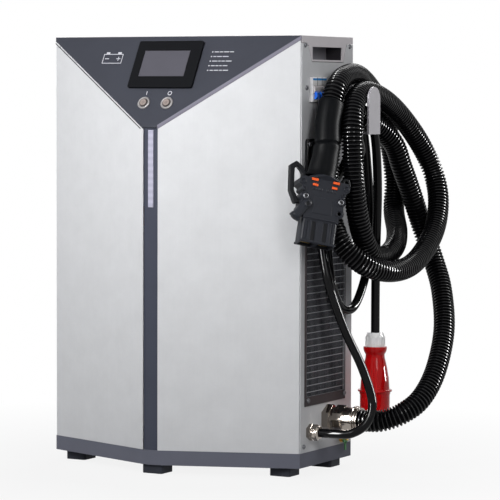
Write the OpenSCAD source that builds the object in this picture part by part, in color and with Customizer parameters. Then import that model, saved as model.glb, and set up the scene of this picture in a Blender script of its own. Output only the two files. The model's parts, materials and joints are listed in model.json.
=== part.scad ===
// Floor-standing traction battery charger: a folded sheet-metal cabinet with a prow front, two
// fan-cooled power modules, a coiled DC hose with its connector and an AC lead with its plug.
// Millimetres, +Z up, +X to the hook side, -Y to the front. The origin is on the floor.

/* [Cabinet] */
// Width over the two side panels
cab_w = 525; // [500:5:560]
// Depth of a flat side, from its front corner to the back
side_d = 205; // [200:5:230]
// How far the prow stands in front of the side corners
prow_d = 90; // [84:1:96]
// Height of the lid above the floor
cab_h = 800; // [790:5:840]
// Drop of the sloping control panel from the lid to its tip
slope_h = 162; // [155:1:170]
// Width of the pillar between the two front panels
strip_w = 30; // [28:1:34]
// Thickness of the folded sheet
sheet = 2; // [1.5:0.25:2.5]
// Gap between neighbouring panels
panel_gap = 0.8; // [0.5:0.1:0.9]
// Height of the rubber feet
foot_h = 17; // [14:1:22]
// Width of a rubber foot
foot_w = 42; // [36:1:46]
// Height of the plinth above the feet
plinth_h = 27; // [24:1:30]

/* [Control panel] */
// Thickness of the control panel's plate
ctrl_t = 2.5; // [2:0.25:3]
// Depth of the lips folded down over the front panels
lip_h = 8; // [7.5:0.5:10]
// Width of the display's bezel
bezel_w = 137; // [130:1:144]
// Height of the display's bezel
bezel_h = 98; // [92:1:104]
// Width of the visible screen
screen_w = 96; // [90:1:100]
// Height of the visible screen
screen_h = 54; // [50:1:58]
// Diameter of a push button's bezel ring
button_d = 25; // [24:0.5:28]
// Diameter of the panel bore for a push button
button_bore_d = 22.4; // [22.2:0.1:22.8]
// Diameter of a push button's cap
cap_d = 16; // [14:0.5:17]
// Travel of a push button
button_travel = 3; // [2:0.5:3.5]

/* [Side panel fittings] */
// Depth of the lifting pockets
pocket_depth = 31; // [26:1:36]
// Width of one breaker pole
pole_w = 18; // [17:0.5:18]
// Height of the breaker's nose
nose_h = 45; // [44:0.5:46]
// Width of the vent grille's frame
grille_w = 159; // [150:1:162]
// Height of the vent grille's frame
grille_h = 320; // [300:2:330]
// Distance between the grille's wires
wire_pitch = 12; // [16:1:22]
// Diameter of a grille wire
wire_d = 1.6; // [2:0.1:2.4]
// Drop of the hook's arm below the lid
hook_drop = 174; // [174:1:178]
// Reach of the hook from the panel
hook_reach = 91.5; // [91:0.5:94]
// Width of the hook's end plate
paddle_w = 46; // [42:1:47]
// Height of the hook's end plate above the arm
paddle_h = 82; // [70:1:90]

/* [Cords] */
// Outer diameter of the corrugated DC hose
hose_d = 40; // [34:0.5:40]
// Outer diameter of the AC cable
cable_d = 16.5; // [13.5:0.5:16.5]
// Diameter of the smooth sleeve over the hose's end
boot_d = 47; // [44:0.5:47]
// Diameter of the AC plug's flange
plug_flange_d = 64; // [60:1:68]
// Outer diameter of the AC plug's sleeve
plug_sleeve_d = 56; // [54:0.5:58]

/* [Fits] */
// Radial clearance of a shaft or cap that moves
run_fit = 0.05; // [0.03:0.01:0.09]
// Radial clearance of a part that is pushed through a hole
push_fit = 0.2; // [0.15:0.05:0.3]

/* [Hidden] */
$fn = 48;
side_x = cab_w / 2;
corner_y = -(side_d - prow_d) / 2;
prow_y = corner_y - prow_d;
back_y = corner_y + side_d;
front_a = atan2(prow_d, side_x - strip_w / 2);
nose_z = cab_h - slope_h;
slope_a = atan2(slope_h, prow_d);
panel_z = foot_h + plinth_h;
floor_z = foot_h + sheet;
band_h = 13;
ear_z = cab_h - band_h - panel_gap;
rim_w = 18;
return_w = 11;
recess = 2.5;
corner_gap = 1.6 * panel_gap;
side_y = corner_y + 2.8 * panel_gap;

// lifting pockets, measured from the front corner and from the lid
tongue = [[24.8, band_h], [41.1, 46.5], [166.4, 46.5], [178.3, band_h]];
pocket_y = corner_y + 43.5;
pocket_w = 116;
pocket_z = cab_h - 43;
pocket_h = 23;
pocket_wall = 1.5;

// display and buttons, u across and v down the slope
display_u = -1.5;
display_v = 61;
screen_u = -4.5;
screen_v = 59.5;
hmi_w = bezel_w - 15;
hmi_h = bezel_h - 14;
hmi_d = 24;
bezel_t = 5;
screen_t = 1.2;
screen_drop = 0.6;
start_u = -26.3;
stop_u = 22.5;
button_v = 140.5;
ring_h = 3;
shank_d = button_bore_d - 2 * push_fit;
shank_l = 22;
cap_low = -8;
cap_top = 4.5;
cap_bore_end = -12;

// breaker
breaker_y = corner_y + 58.5;
breaker_z = cab_h - 97;
poles = 3;
breaker_w = poles * pole_w;
nose_out = 7;
shoulder_x = -18;
breaker_back = -60;
breaker_h = 83;
drum_r = 10;
drum_gap = 0.4;
wall_end = 2.5;
toggle_pin_d = 3;
toggle_rest = 33;
lever_l = 18.5;
lever_t = 4;
lever_drop = 10;
lever_w = 9;
rail_h = 35;
rail_end = 14;
rail_flange = 12;
plate_screw_y = 38.7;

// grille, filter
grille_y = corner_y + 16.5;
grille_z = 128.4;
grille_t = 2.5;
rail_w = 4;
flange_h = 17;
mat_gap = 2;
pleat = 6.6;
pleat_d = 8;
mat_t = 16;

// glands
dc_y = corner_y + 107.5;
dc_z = 98;
ac_y = corner_y + 37.5;
ac_z = 80;
dc_shank_d = 40;
ac_shank_d = 20;
dc_out = 58;
ac_out = 22.5;
earth_y = corner_y + 164.5;
earth_z = 55;

// hook, holster
hook_z = cab_h - hook_drop;
hook_y = corner_y + 112.5;
arm_w = 26;
bar_t = 4;
root_h = 50;
holster_y = corner_y + 15.5;
holster_z = cab_h - 186;
holster_w = 80;
holster_h = 74;
holster_t = 4;
holster_rim = 2.5;

// screws
screw_d = 4;
head_d = 9;
head_h = 2.6;
screw_l = 8;

// power modules and fans
mod_d = 180;
mod_h = 140;
mod_y = 38;
mod_low_z = 135;
mod_step = 150;
fan_s = 120;
fan_t = 38;
fan_gap = 16.5;
mod_w = 2 * (side_x - sheet - mat_t - fan_gap - fan_t);
fan_open_d = 114;
fan_tip_d = 110;
fan_hub_d = 46;
fan_pin_d = 5;
post_w = 20;
shelf_t = 2;
top_shelf_z = mod_low_z + 2 * mod_step + 10;
contactor_base = [76, 92, 40];
contactor_step = 8;
bus_l = 180;
bus_w = 24;
bus_t = 5;
bus_gap = 70;
bus_stand = 30;

// connector
conn_turn = 44;
conn_w = 66;
wing_w = 94;
ear_d = 18;
conn_t = 38;
conn_body_h = 76;
neck_h = 7;
mate_w = 66;
mate_t = 36;
mate_h = 42;
mouth_d = 30;

// plug
plug_top = 252;
plug_nut_d = 37;
plug_nut_h = 26;
sleeve_low = 105;
sleeve_wall = 3;

// The DC hose, from its gland to the connector, hung twice over the hook.
route_side_x = 262.5;
route_corner_y = -57.5;
route_hook_z = 626;
route_shift = [side_x - route_side_x, corner_y - route_corner_y, 0];
// A route moved to the side panel, and stretched between its gland and the hook.
function fit_route(r) = let (z0 = r[0][2], k = (hook_z - z0) / (route_hook_z - z0))
    [for (p = r) [p[0], p[1], z0 + k * (p[2] - z0)] + route_shift];
hose_route = [
    [320.5, 50, 98], [345, 50, 98], [375, 55, 100], [405, 72, 113], [427, 105, 138],
    [433, 155, 185], [422, 215, 255], [395, 262, 325], [368, 285, 378], [345, 290, 430],
    [334, 268, 490], [325, 232, 558], [318, 205, 605], [300, 155, 642], [292, 105, 660],
    [290, 65, 662], [290, 28, 648], [290, 6, 612], [290, -3, 565], [296, -12, 515],
    [308, -22, 465], [330, -27, 425], [360, -4, 390], [382, 50, 374], [392, 120, 378],
    [391, 190, 404], [384, 255, 447], [372, 293, 500], [354, 304, 552], [338, 278, 605],
    [327, 215, 657], [325, 145, 687], [325, 75, 699], [330, 22, 681], [341, -10, 635],
    [345, -14, 572], [345, -6, 515], [345, 18, 452], [346, 55, 408], [346, 110, 396],
    [342, 165, 411], [320, 222, 436], [292, 266, 474], [286, 281, 530], [285, 266, 595],
    [285, 222, 668], [287, 160, 712], [293.5, 95, 731], [299.5, 38, 725.5], [305, -2, 707],
    [305.5, -22, 680.5], [306, -36.5, 642], [311, -49.5, 597], [312, -66, 545]];
boot_from = 50;
hose_end = len(hose_route) - 1;
hose_line = fit_route(hose_route);
conn_fall = hose_line[hose_end - 1] - hose_line[hose_end];
conn_tilt = -atan2(conn_fall[1], conn_fall[2]);
conn_lean = asin(conn_fall[0] / norm(conn_fall));
// The AC cable, from its gland, twice over the hook and down to the plug.
cable_route = [
    [285, -20, 80], [315, -20, 80], [345, -16, 82], [368, 0, 100], [374, 12, 138],
    [356, 6, 200], [330, -12, 268], [307, -28, 345], [290, -26, 415], [275, -8, 475],
    [278, 32, 525], [300, 44, 570], [317, 28, 602], [318, 30, 630], [318, 58, 644],
    [317, 84, 626], [308, 120, 552], [299, 152, 455], [297, 144, 375], [295, 108, 314],
    [292, 74, 297], [288, 40, 315], [283, 20, 365], [276, 25, 430], [279, 56, 505],
    [300, 72, 552], [330, 48, 588], [337, 24, 618], [337, 38, 642], [337, 72, 648],
    [335, 98, 606], [327, 124, 520], [316, 142, 420], [315, 142, 335], [315, 142, 252]];
cable_line = fit_route(cable_route);
cord_sides = 10;

// The cabinet's plan, drawn in by t on every side.
function plan_pts(t) = let (x = side_x - t, xs = strip_w / 2 - t * tan(front_a / 2),
        yf = prow_y + t, yc = corner_y + t * (1 - sin(front_a)) / cos(front_a), yb = back_y - t)
    [[-x, yc], [-xs, yf], [xs, yf], [x, yc], [x, yb], [-x, yb]];

function unit(v) = v / norm(v);
// The direction of the route at its point i.
function route_dir(r, i) = unit(i == 0 ? r[1] - r[0]
    : i == len(r) - 1 ? r[i] - r[i - 1]
    : unit(r[i + 1] - r[i]) + unit(r[i] - r[i - 1]));
// A sideways direction at each point, carried along the route without twist.
function side_dirs(r, i = 0, last = [0, 0, 1], out = []) = i == len(r) ? out
    : let (d = route_dir(r, i), s = unit(last - (last * d) * d))
      side_dirs(r, i + 1, s, concat(out, [s]));
function ring_pts(r, s, i, rad) = let (d = route_dir(r, i), b = cross(d, s))
    [for (k = [0 : cord_sides - 1]) let (a = 360 * k / cord_sides)
        r[i] + rad * (cos(a) * s + sin(a) * b)];

// One closed tube along the points from..to of a route.
module sweep_tube(r, from, to, d) {
    s = side_dirs(r);
    n = to - from;
    pts = [for (i = [from : to]) each ring_pts(r, s[i], i, d / 2)];
    m = cord_sides;
    polyhedron(pts, concat(
        [[for (k = [m - 1 : -1 : 0]) m - 1 - k]],
        [for (i = [0 : n - 1]) for (k = [0 : m - 1])
            [i * m + k, (i + 1) * m + k, (i + 1) * m + (k + 1) % m, i * m + (k + 1) % m]],
        [[for (k = [m - 1 : -1 : 0]) n * m + k]]));
}

module on_right(out = 0) { translate([side_x + out, 0, 0]) rotate([90, 0, 90]) children(); }
module on_slope() { translate([0, corner_y, cab_h]) rotate([slope_a, 0, 0]) children(); }
module on_both() { children(); mirror([1, 0, 0]) children(); }
module round_rect(w, h, r) {
    union() {
        square([w - 2 * r, h], center = true);
        square([w, h - 2 * r], center = true);
        for (x = [-1, 1], y = [-1, 1])
            translate([x * (w / 2 - r), y * (h / 2 - r)]) circle(r, $fn = 32);
    }
}
// Everything above the slope, lowered by dz.
module above_slope(dz) {
    translate([0, 0, -dz]) on_slope() translate([-cab_w, -cab_h, 0]) cube([2 * cab_w, 2 * cab_h, cab_h]);
}
// A slab of the control panel's slope, t thick.
module slope_slab(t) {
    on_slope() translate([-cab_w, -cab_h, -t]) cube([2 * cab_w, 2 * cab_h, t]);
}

// base

foot_in = 42.5;
rear_foot_in = 34.5;
foot_back = 28;

front_foot_x = side_x - foot_in;
rear_foot_x = side_x - rear_foot_in;
foot_places = [[0, prow_y + foot_back], [-front_foot_x, corner_y + 22], [front_foot_x, corner_y + 22],
    [-rear_foot_x, back_y - 36], [rear_foot_x, back_y - 36]];

module base_plinth() {
    color("#53545e") difference() {
        translate([0, 0, foot_h]) union() {
            linear_extrude(sheet) polygon(plan_pts(0));
            linear_extrude(plinth_h) difference() {
                polygon(plan_pts(0));
                polygon(plan_pts(sheet));
            }
            translate([0, 0, plinth_h - sheet]) linear_extrude(sheet) difference() {
                polygon(plan_pts(0));
                polygon(plan_pts(rim_w));
            }
        }
        for (p = foot_places) translate([p[0], p[1], foot_h - 1]) cylinder(d = 8.4, h = sheet + 2);
    }
}

module rubber_feet() {
    color("#22232a") for (p = foot_places) translate([p[0], p[1], 0]) difference() {
        linear_extrude(foot_h) round_rect(foot_w, foot_w, 5);
        translate([0, 0, -1]) cylinder(d = 8.6, h = foot_h + 2);
        translate([0, 0, -1]) cylinder(d = 18, h = foot_h - 7);
    }
}

module foot_bolts() {
    color("#b9bcc0") for (p = foot_places) translate([p[0], p[1], 0]) {
        translate([0, 0, foot_h - 13.5]) cylinder(d = 13, h = 5.5, $fn = 6);
        translate([0, 0, foot_h - 8.5]) cylinder(d = 8, h = 8.5 + sheet + 6.5);
        translate([0, 0, floor_z]) difference() {
            cylinder(d = 15, h = 6.5, $fn = 6);
            translate([0, 0, -1]) cylinder(d = 7.8, h = 9);
        }
    }
}

// casing

// A front panel: a flat face with a return along its outer edge, cut to the slope.
module right_front_panel() {
    face_l = (side_x - strip_w / 2) / cos(front_a);
    color("#d3d5d9") difference() {
        translate([strip_w / 2, prow_y, panel_z]) rotate([0, 0, front_a])
            union() {
                linear_extrude(cab_h - panel_z) translate([panel_gap, 0])
                    square([face_l - panel_gap - corner_gap, sheet]);
                linear_extrude(ear_z - 25 - panel_z) translate([face_l - corner_gap - sheet, 0])
                    square([sheet, return_w]);
            }
        above_slope(lip_h + panel_gap);
    }
}
module left_front_panel() { mirror([1, 0, 0]) right_front_panel(); }

led_w = 11;
led_l = 141;
pillar_w = strip_w - 2 * panel_gap;
pillar_top = nose_z - 6;
led_top = pillar_top - 3;
led_low = led_top - led_l;

module prow_pillar() {
    color("#53545e") difference() {
        translate([0, prow_y + recess, panel_z]) linear_extrude(pillar_top - panel_z) union() {
            translate([-pillar_w / 2, 0]) square([pillar_w, sheet]);
            for (x = [-1, 1]) translate([x * (pillar_w / 2 - sheet / 2) - sheet / 2, 0]) square([sheet, 12]);
        }
        translate([-led_w / 2 - push_fit, prow_y, led_low - push_fit])
            cube([led_w + 2 * push_fit, 10, led_top - led_low + 2 * push_fit]);
    }
}

module led_light_bar() {
    color("#e4e8ee") union() {
        translate([-led_w / 2, prow_y + recess - 1.5, led_low]) cube([led_w, sheet + 2.5, led_top - led_low]);
        translate([-led_w / 2 - 3, prow_y + recess + sheet, led_low - 4])
            cube([led_w + 6, 3, led_top - led_low + 6]);
    }
}

module control_panel() {
    color("#565761") difference() {
        union() {
            intersection() {
                slope_slab(ctrl_t);
                linear_extrude(cab_h + 10) polygon([for (i = [0 : 3]) plan_pts(0)[i]]);
            }
            intersection() {
                slope_slab(lip_h * cos(slope_a));
                linear_extrude(cab_h + 10) on_both() polygon([plan_pts(0)[2], plan_pts(0)[3],
                    plan_pts(0)[3] + sheet * [-sin(front_a), cos(front_a)],
                    plan_pts(0)[2] + sheet * [-sin(front_a), cos(front_a)]]);
            }
        }
        translate([-cab_w, corner_y, nose_z]) cube([2 * cab_w, 50, cab_h]);
        on_slope() {
            translate([display_u, -display_v, -20]) linear_extrude(40)
                square([hmi_w + 2 * push_fit, hmi_h + 2 * push_fit], center = true);
            for (u = [start_u, stop_u]) translate([u, -button_v, -20]) cylinder(d = button_bore_d, h = 40);
        }
    }
}

module tongue_shape(grow) {
    polygon([[corner_y + tongue[0][0] - grow, cab_h - tongue[0][1] + 1],
        [corner_y + tongue[0][0] - grow, cab_h - tongue[0][1]],
        [corner_y + tongue[1][0] - grow, cab_h - tongue[1][1] - grow],
        [corner_y + tongue[2][0] + grow, cab_h - tongue[2][1] - grow],
        [corner_y + tongue[3][0] + grow, cab_h - tongue[3][1]],
        [corner_y + tongue[3][0] + grow, cab_h - tongue[3][1] + 1]]);
}

module lid_flange() {
    on_right(-sheet) linear_extrude(sheet) difference() {
        union() {
            translate([side_y, cab_h - band_h]) square([back_y - side_y, band_h]);
            tongue_shape(0);
        }
        translate([pocket_y, pocket_z]) square([pocket_w, pocket_h]);
    }
}

module top_lid() {
    color("#cfcdd2") union() {
        translate([-side_x, corner_y + panel_gap, cab_h - sheet]) cube([cab_w, side_d - panel_gap, sheet]);
        on_both() lid_flange();
        translate([-side_x, back_y - sheet, cab_h - band_h]) cube([cab_w, sheet, band_h]);
    }
}

module side_outline() {
    difference() {
        translate([side_y, panel_z]) square([back_y - side_y, ear_z - panel_z]);
        tongue_shape(panel_gap);
        translate([corner_y + tongue[0][0] - panel_gap, ear_z - 5])
            square([tongue[3][0] - tongue[0][0] + 2 * panel_gap, 20]);
    }
}

// Seats of the screw heads on a side panel: along, up, and height above the panel.
shared_screws = [[corner_y + 14, cab_h - 17, 0], [back_y - 14, cab_h - 17, 0],
    [corner_y + 14.5, panel_z + 11.3, 0], [back_y - 13.5, panel_z + 245, 0],
    [grille_y + 10, grille_z + 10.3, grille_t], [grille_y + grille_w - 4.5, grille_z + 10.5, grille_t],
    [grille_y + 10, grille_z + grille_h - 8, grille_t],
    [grille_y + grille_w - 4.5, grille_z + grille_h - 8, grille_t]];
right_screws = [[breaker_y - plate_screw_y, breaker_z + 3, 0], [breaker_y + plate_screw_y, breaker_z + 3, 0],
    [hook_y, hook_z - 20, bar_t], [hook_y, hook_z - 40, bar_t],
    [holster_y + 10, holster_z - 10, holster_t], [holster_y + holster_w - 10, holster_z - 10, holster_t],
    [holster_y + holster_w / 2, holster_z - holster_h + 10, holster_t]];
rear_screws = [for (x = [-1, 0, 1], z = [panel_z + 14, ear_z - 14]) [x * (side_x - 40), z]];

module screw_holes(list) { for (s = list) translate([s[0], s[1]]) circle(d = screw_d + 2 * push_fit, $fn = 24); }
module vent_hole() {
    translate([grille_y + rail_w - mat_gap, grille_z + flange_h - mat_gap])
        square([grille_w - 2 * rail_w + 2 * mat_gap, grille_h - flange_h - 16 + 2 * mat_gap]);
}

module right_side_panel() {
    color("#c9cbd0") on_right(-sheet) linear_extrude(sheet) difference() {
        side_outline();
        vent_hole();
        translate([breaker_y, breaker_z]) square([breaker_w + 1.2, nose_h + 1.2], center = true);
        translate([dc_y, dc_z]) circle(d = dc_shank_d + 2 * push_fit, $fn = 64);
        translate([ac_y, ac_z]) circle(d = ac_shank_d + 2 * push_fit, $fn = 48);
        translate([earth_y, earth_z]) circle(d = 8 + 2 * push_fit, $fn = 32);
        screw_holes(shared_screws);
        screw_holes(right_screws);
    }
}

module left_side_panel() {
    color("#c9cbd0") mirror([1, 0, 0]) on_right(-sheet) linear_extrude(sheet) difference() {
        side_outline();
        vent_hole();
        screw_holes(shared_screws);
    }
}

module rear_panel() {
    half = side_x - sheet - panel_gap;
    color("#c9cbd0") difference() {
        union() {
            translate([-half, back_y - sheet, panel_z]) cube([2 * half, sheet, ear_z - panel_z]);
            for (x = [-1, 1]) translate([x * (half - sheet / 2) - sheet / 2, back_y - return_w, panel_z])
                cube([sheet, return_w, ear_z - panel_z]);
        }
        for (s = rear_screws) translate([s[0], back_y + 1, s[1]]) rotate([90, 0, 0])
            cylinder(d = screw_d + 2 * push_fit, h = 10, $fn = 24);
    }
}

module right_handle_pocket() {
    color("#b4b4ba") on_right(-sheet - pocket_depth) translate([pocket_y, pocket_z]) difference() {
        translate([-pocket_wall, -pocket_wall, -pocket_wall])
            cube([pocket_w + 2 * pocket_wall, pocket_h + 2 * pocket_wall, pocket_depth + pocket_wall]);
        cube([pocket_w, pocket_h, pocket_depth + 5]);
    }
}
module left_handle_pocket() { mirror([1, 0, 0]) right_handle_pocket(); }

module right_vent_grille() {
    open_w = grille_w - 2 * rail_w;
    open_h = grille_h - flange_h - 16;
    wires = floor((open_h - wire_pitch / 2) / wire_pitch);
    color("#8d9096") on_right() translate([grille_y, grille_z]) union() {
        linear_extrude(grille_t) difference() {
            square([grille_w, grille_h]);
            translate([rail_w, flange_h]) square([open_w, open_h]);
            translate([-grille_y, -grille_z]) screw_holes([for (i = [4 : 7]) shared_screws[i]]);
        }
        for (i = [1 : wires]) translate([rail_w - 1.5, flange_h + i * wire_pitch - wire_pitch / 3, grille_t / 2])
            rotate([0, 90, 0]) cylinder(d = wire_d, h = open_w + 3, $fn = 16);
    }
}
module left_vent_grille() { mirror([1, 0, 0]) right_vent_grille(); }

module right_filter_mat() {
    w = grille_w - 2 * rail_w + 10;
    n = floor(w / pleat);
    p = w / n;
    color("#24262b") translate([side_x - sheet, grille_y + rail_w - 5, grille_z + flange_h - 4])
        linear_extrude(grille_h - flange_h - 8) polygon(concat(
            [for (i = [0 : n - 1]) each [[0, i * p], [0, i * p + p / 4], [-pleat_d, i * p + p / 2],
                [-pleat_d, i * p + 3 * p / 4]]], [[0, w], [-mat_t, w], [-mat_t, 0]]));
}
module left_filter_mat() { mirror([1, 0, 0]) right_filter_mat(); }

// Pan-head screws of the casing, with their shanks in true holes.
module pan_screw() {
    rotate_extrude($fn = 24) polygon([[0, -screw_l], [screw_d / 2, -screw_l], [screw_d / 2, 0],
        [head_d / 2, 0], [head_d / 2, head_h * 0.45], [head_d / 2 - 1.1, head_h], [1.5, head_h],
        [1.5, head_h * 0.4], [0, head_h * 0.4]]);
}
module panel_screws() {
    color("#c4c6ca") {
        on_right() for (s = concat(shared_screws, right_screws)) translate(s) pan_screw();
        mirror([1, 0, 0]) on_right() for (s = shared_screws) translate(s) pan_screw();
        for (s = rear_screws) translate([s[0], back_y, s[1]]) rotate([-90, 0, 0]) pan_screw();
    }
}

// controls

module display_bezel() {
    color("#17181c") on_slope() difference() {
        union() {
            translate([display_u, -display_v, 0]) linear_extrude(bezel_t) round_rect(bezel_w, bezel_h, 4);
            translate([display_u, -display_v, -hmi_d]) linear_extrude(hmi_d) square([hmi_w, hmi_h], center = true);
        }
        translate([screen_u, -screen_v, bezel_t - screen_drop - screen_t]) linear_extrude(10)
            square([screen_w, screen_h], center = true);
    }
}

module display_screen() {
    color("#706e76") on_slope() translate([screen_u, -screen_v, bezel_t - screen_drop - screen_t])
        linear_extrude(screen_t) square([screen_w - 2 * push_fit, screen_h - 2 * push_fit], center = true);
}

module button_bezel(u) {
    color("#c3c4c8") on_slope() translate([u, -button_v, 0]) rotate_extrude($fn = 64) polygon([
        [0, -shank_l], [shank_d / 2, -shank_l], [shank_d / 2, 0], [button_d / 2, 0],
        [button_d / 2, ring_h * 0.5], [button_d / 2 - 1.2, ring_h], [cap_d / 2 + 1.4, ring_h],
        [cap_d / 2 + run_fit, ring_h - 0.8], [cap_d / 2 + run_fit, cap_bore_end], [0, cap_bore_end]]);
}
module button_cap(u) {
    color("#b9a69c") on_slope() translate([u, -button_v, 0]) rotate_extrude($fn = 64) polygon([
        [0, cap_low], [cap_d / 2, cap_low], [cap_d / 2, cap_top - 0.8], [cap_d / 2 - 0.8, cap_top],
        [cap_d / 2 - 2.5, cap_top], [0, cap_top - 0.5]]);
}
module start_button_bezel() { button_bezel(start_u); }
module stop_button_bezel() { button_bezel(stop_u); }
module start_button_cap() { button_cap(start_u); }
module stop_button_cap() { button_cap(stop_u); }

// The breaker's section, out of the panel and up, about its lever's pivot.
module breaker_section() {
    polygon([[breaker_back, -breaker_h / 2], [shoulder_x, -breaker_h / 2], [shoulder_x, -nose_h / 2],
        [nose_out - 1.5, -nose_h / 2], [nose_out, -nose_h / 2 + 1.5], [nose_out, nose_h / 2 - 1.5],
        [nose_out - 1.5, nose_h / 2], [shoulder_x, nose_h / 2], [shoulder_x, breaker_h / 2],
        [breaker_back, breaker_h / 2], [breaker_back, rail_h / 2 + 0.5],
        [breaker_back + 3, rail_h / 2 + 0.5], [breaker_back + 3, -rail_h / 2 - 0.5],
        [breaker_back, -rail_h / 2 - 0.5]]);
}
module at_breaker() { translate([side_x, breaker_y, breaker_z]) rotate([90, 0, 0]) children(); }

module breaker_body() {
    drum_l = breaker_w - 2 * wall_end;
    color("#d8d2d0") difference() {
        at_breaker() translate([0, 0, -breaker_w / 2]) linear_extrude(breaker_w) breaker_section();
        at_breaker() translate([0, 0, -drum_l / 2]) cylinder(r = drum_r + drum_gap, h = drum_l, $fn = 48);
        at_breaker() translate([0, 0, -breaker_w]) cylinder(d = toggle_pin_d + 2 * run_fit, h = 2 * breaker_w, $fn = 32);
        for (i = [1 : poles - 1])
            translate([side_x + nose_out - 1.2, breaker_y - breaker_w / 2 + i * pole_w - 0.4, breaker_z - nose_h])
                cube([5, 0.8, 2 * nose_h]);
    }
}

module breaker_toggle() {
    drum_l = breaker_w - 2 * wall_end - 2 * drum_gap;
    color("#2358b8") at_breaker() union() {
        translate([0, 0, -drum_l / 2]) cylinder(r = drum_r, h = drum_l, $fn = 48);
        translate([0, 0, -breaker_w / 2]) cylinder(d = toggle_pin_d, h = breaker_w, $fn = 32);
        for (i = [0 : poles - 1]) translate([0, 0, (i - (poles - 1) / 2) * pole_w - lever_w / 2])
            linear_extrude(lever_w) rotate(-toggle_rest) polygon([[0, -lever_t / 2],
                [lever_l - 7.5, -lever_t / 2], [lever_l - 4.5, -lever_t / 2 - 3], [lever_l - 3, -lever_drop],
                [lever_l - 0.2, -lever_drop + 0.6], [lever_l - 1, -lever_t / 2], [lever_l - 4.5, lever_t / 2],
                [0, lever_t / 2]]);
    }
}

// A hat rail between two brackets that are screwed to the panel's inner face.
module breaker_rail() {
    half = breaker_w / 2 + rail_end;
    color("#b9bcc0") translate([side_x, breaker_y, breaker_z]) difference() {
        union() {
            translate([breaker_back + 3, half, 0]) rotate([90, 0, 0]) linear_extrude(2 * half) polygon([
                [0, rail_h / 2], [0, rail_h / 2 - 5], [-6, rail_h / 2 - 5], [-6, -rail_h / 2 + 5],
                [0, -rail_h / 2 + 5], [0, -rail_h / 2], [-1.5, -rail_h / 2], [-1.5, -rail_h / 2 + 3.5],
                [-7.5, -rail_h / 2 + 3.5], [-7.5, rail_h / 2 - 3.5], [-1.5, rail_h / 2 - 3.5], [-1.5, rail_h / 2]]);
            for (y = [-1, 1]) translate([0, y * half, 0]) {
                translate([breaker_back - 5, y > 0 ? 0 : -sheet, -20]) cube([-breaker_back + 5 - sheet, sheet, 40]);
                translate([-2 * sheet, y > 0 ? -rail_flange : 0, -20]) cube([sheet, rail_flange, 40]);
            }
        }
        for (y = [-1, 1]) translate([-3 * sheet, y * plate_screw_y, 3]) rotate([0, 90, 0])
            cylinder(d = screw_d + 2 * push_fit, h = 4 * sheet, $fn = 24);
    }
}

// A flat bar bent from the panel into an arm, with an upright end plate.
module cable_hook() {
    bend = 6;
    color("#96949c") difference() {
        union() {
            translate([side_x, hook_y + arm_w / 2, hook_z]) rotate([90, 0, 0]) linear_extrude(arm_w) {
                translate([0, -root_h - bar_t]) square([bar_t, root_h + bar_t - bend]);
                translate([bend, -bar_t]) square([hook_reach - bar_t - bend, bar_t]);
                translate([bend, -bend]) difference() {
                    circle(bend, $fn = 48);
                    circle(bend - bar_t, $fn = 48);
                    translate([0, -10]) square([20, 20]);
                    translate([-10, -20]) square([20, 20]);
                }
            }
            on_right(hook_reach - bar_t) linear_extrude(bar_t) {
                translate([hook_y - paddle_w / 2, hook_z - bar_t])
                    square([paddle_w, bar_t + paddle_h - paddle_w / 2]);
                translate([hook_y, hook_z + paddle_h - paddle_w / 2]) circle(d = paddle_w, $fn = 64);
            }
        }
        on_right(-1) for (z = [20, 40]) translate([hook_y, hook_z - z, 0])
            cylinder(d = screw_d + 2 * push_fit, h = bar_t + 2, $fn = 24);
    }
}

// A parking bracket for the connector: a plate with a raised guide on it.
module connector_holster() {
    color("#1d1e22") on_right() translate([holster_y, holster_z - holster_h, 0]) difference() {
        union() {
            linear_extrude(holster_t) translate([holster_w / 2, holster_h / 2]) round_rect(holster_w, holster_h, 6);
            translate([0, 0, holster_t - 0.5]) linear_extrude(holster_rim + 0.5) difference() {
                translate([18, 18]) square([holster_w - 36, holster_h - 22]);
                translate([22, 22]) square([holster_w - 44, holster_h]);
            }
        }
        translate([-holster_y, holster_h - holster_z, -1]) linear_extrude(holster_t + 2)
            screw_holes([for (i = [4 : 6]) right_screws[i]]);
    }
}

// glands, seen along the outward axis

module at_dc() { translate([side_x, dc_y, dc_z]) rotate([0, 90, 0]) children(); }
module at_ac() { translate([side_x, ac_y, ac_z]) rotate([0, 90, 0]) children(); }

module gland_base(shank, hex, hex_h, neck_d, neck_end, bore) {
    difference() {
        union() {
            translate([0, 0, -14]) cylinder(d = shank, h = 14.5, $fn = 64);
            cylinder(d = hex, h = hex_h, $fn = 6);
            translate([0, 0, hex_h - 0.5]) cylinder(d = neck_d, h = neck_end - hex_h + 0.5, $fn = 64);
        }
        translate([0, 0, -20]) cylinder(d = bore, h = 60, $fn = 48);
    }
}
module gland_cap(start, hex, hex_h, end, end_d, bore) {
    difference() {
        union() {
            translate([0, 0, start]) cylinder(d = hex, h = hex_h, $fn = 6);
            translate([0, 0, start]) rotate_extrude($fn = 64) polygon([[0, 0], [hex * 0.44, 0],
                [hex * 0.44, hex_h + 2], [end_d / 2 + 1.5, end - start - 3], [end_d / 2, end - start], [0, end - start]]);
        }
        cylinder(d = bore, h = 100, $fn = 48);
    }
}
module dc_gland_body() { color("#b8b2a6") at_dc() gland_base(dc_shank_d, 53, 14, 44, 22, 30); }
module dc_gland_nut() { color("#b8b2a6") at_dc() gland_cap(22, 53, 18, dc_out, 43, 30); }
module ac_gland_body() { color("#b8b2a6") at_ac() gland_base(ac_shank_d, 31, 7, 24, 10, 11); }
module ac_gland_nut() { color("#b8b2a6") at_ac() gland_cap(10, 30, 7, ac_out, 22, 11); }
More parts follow.
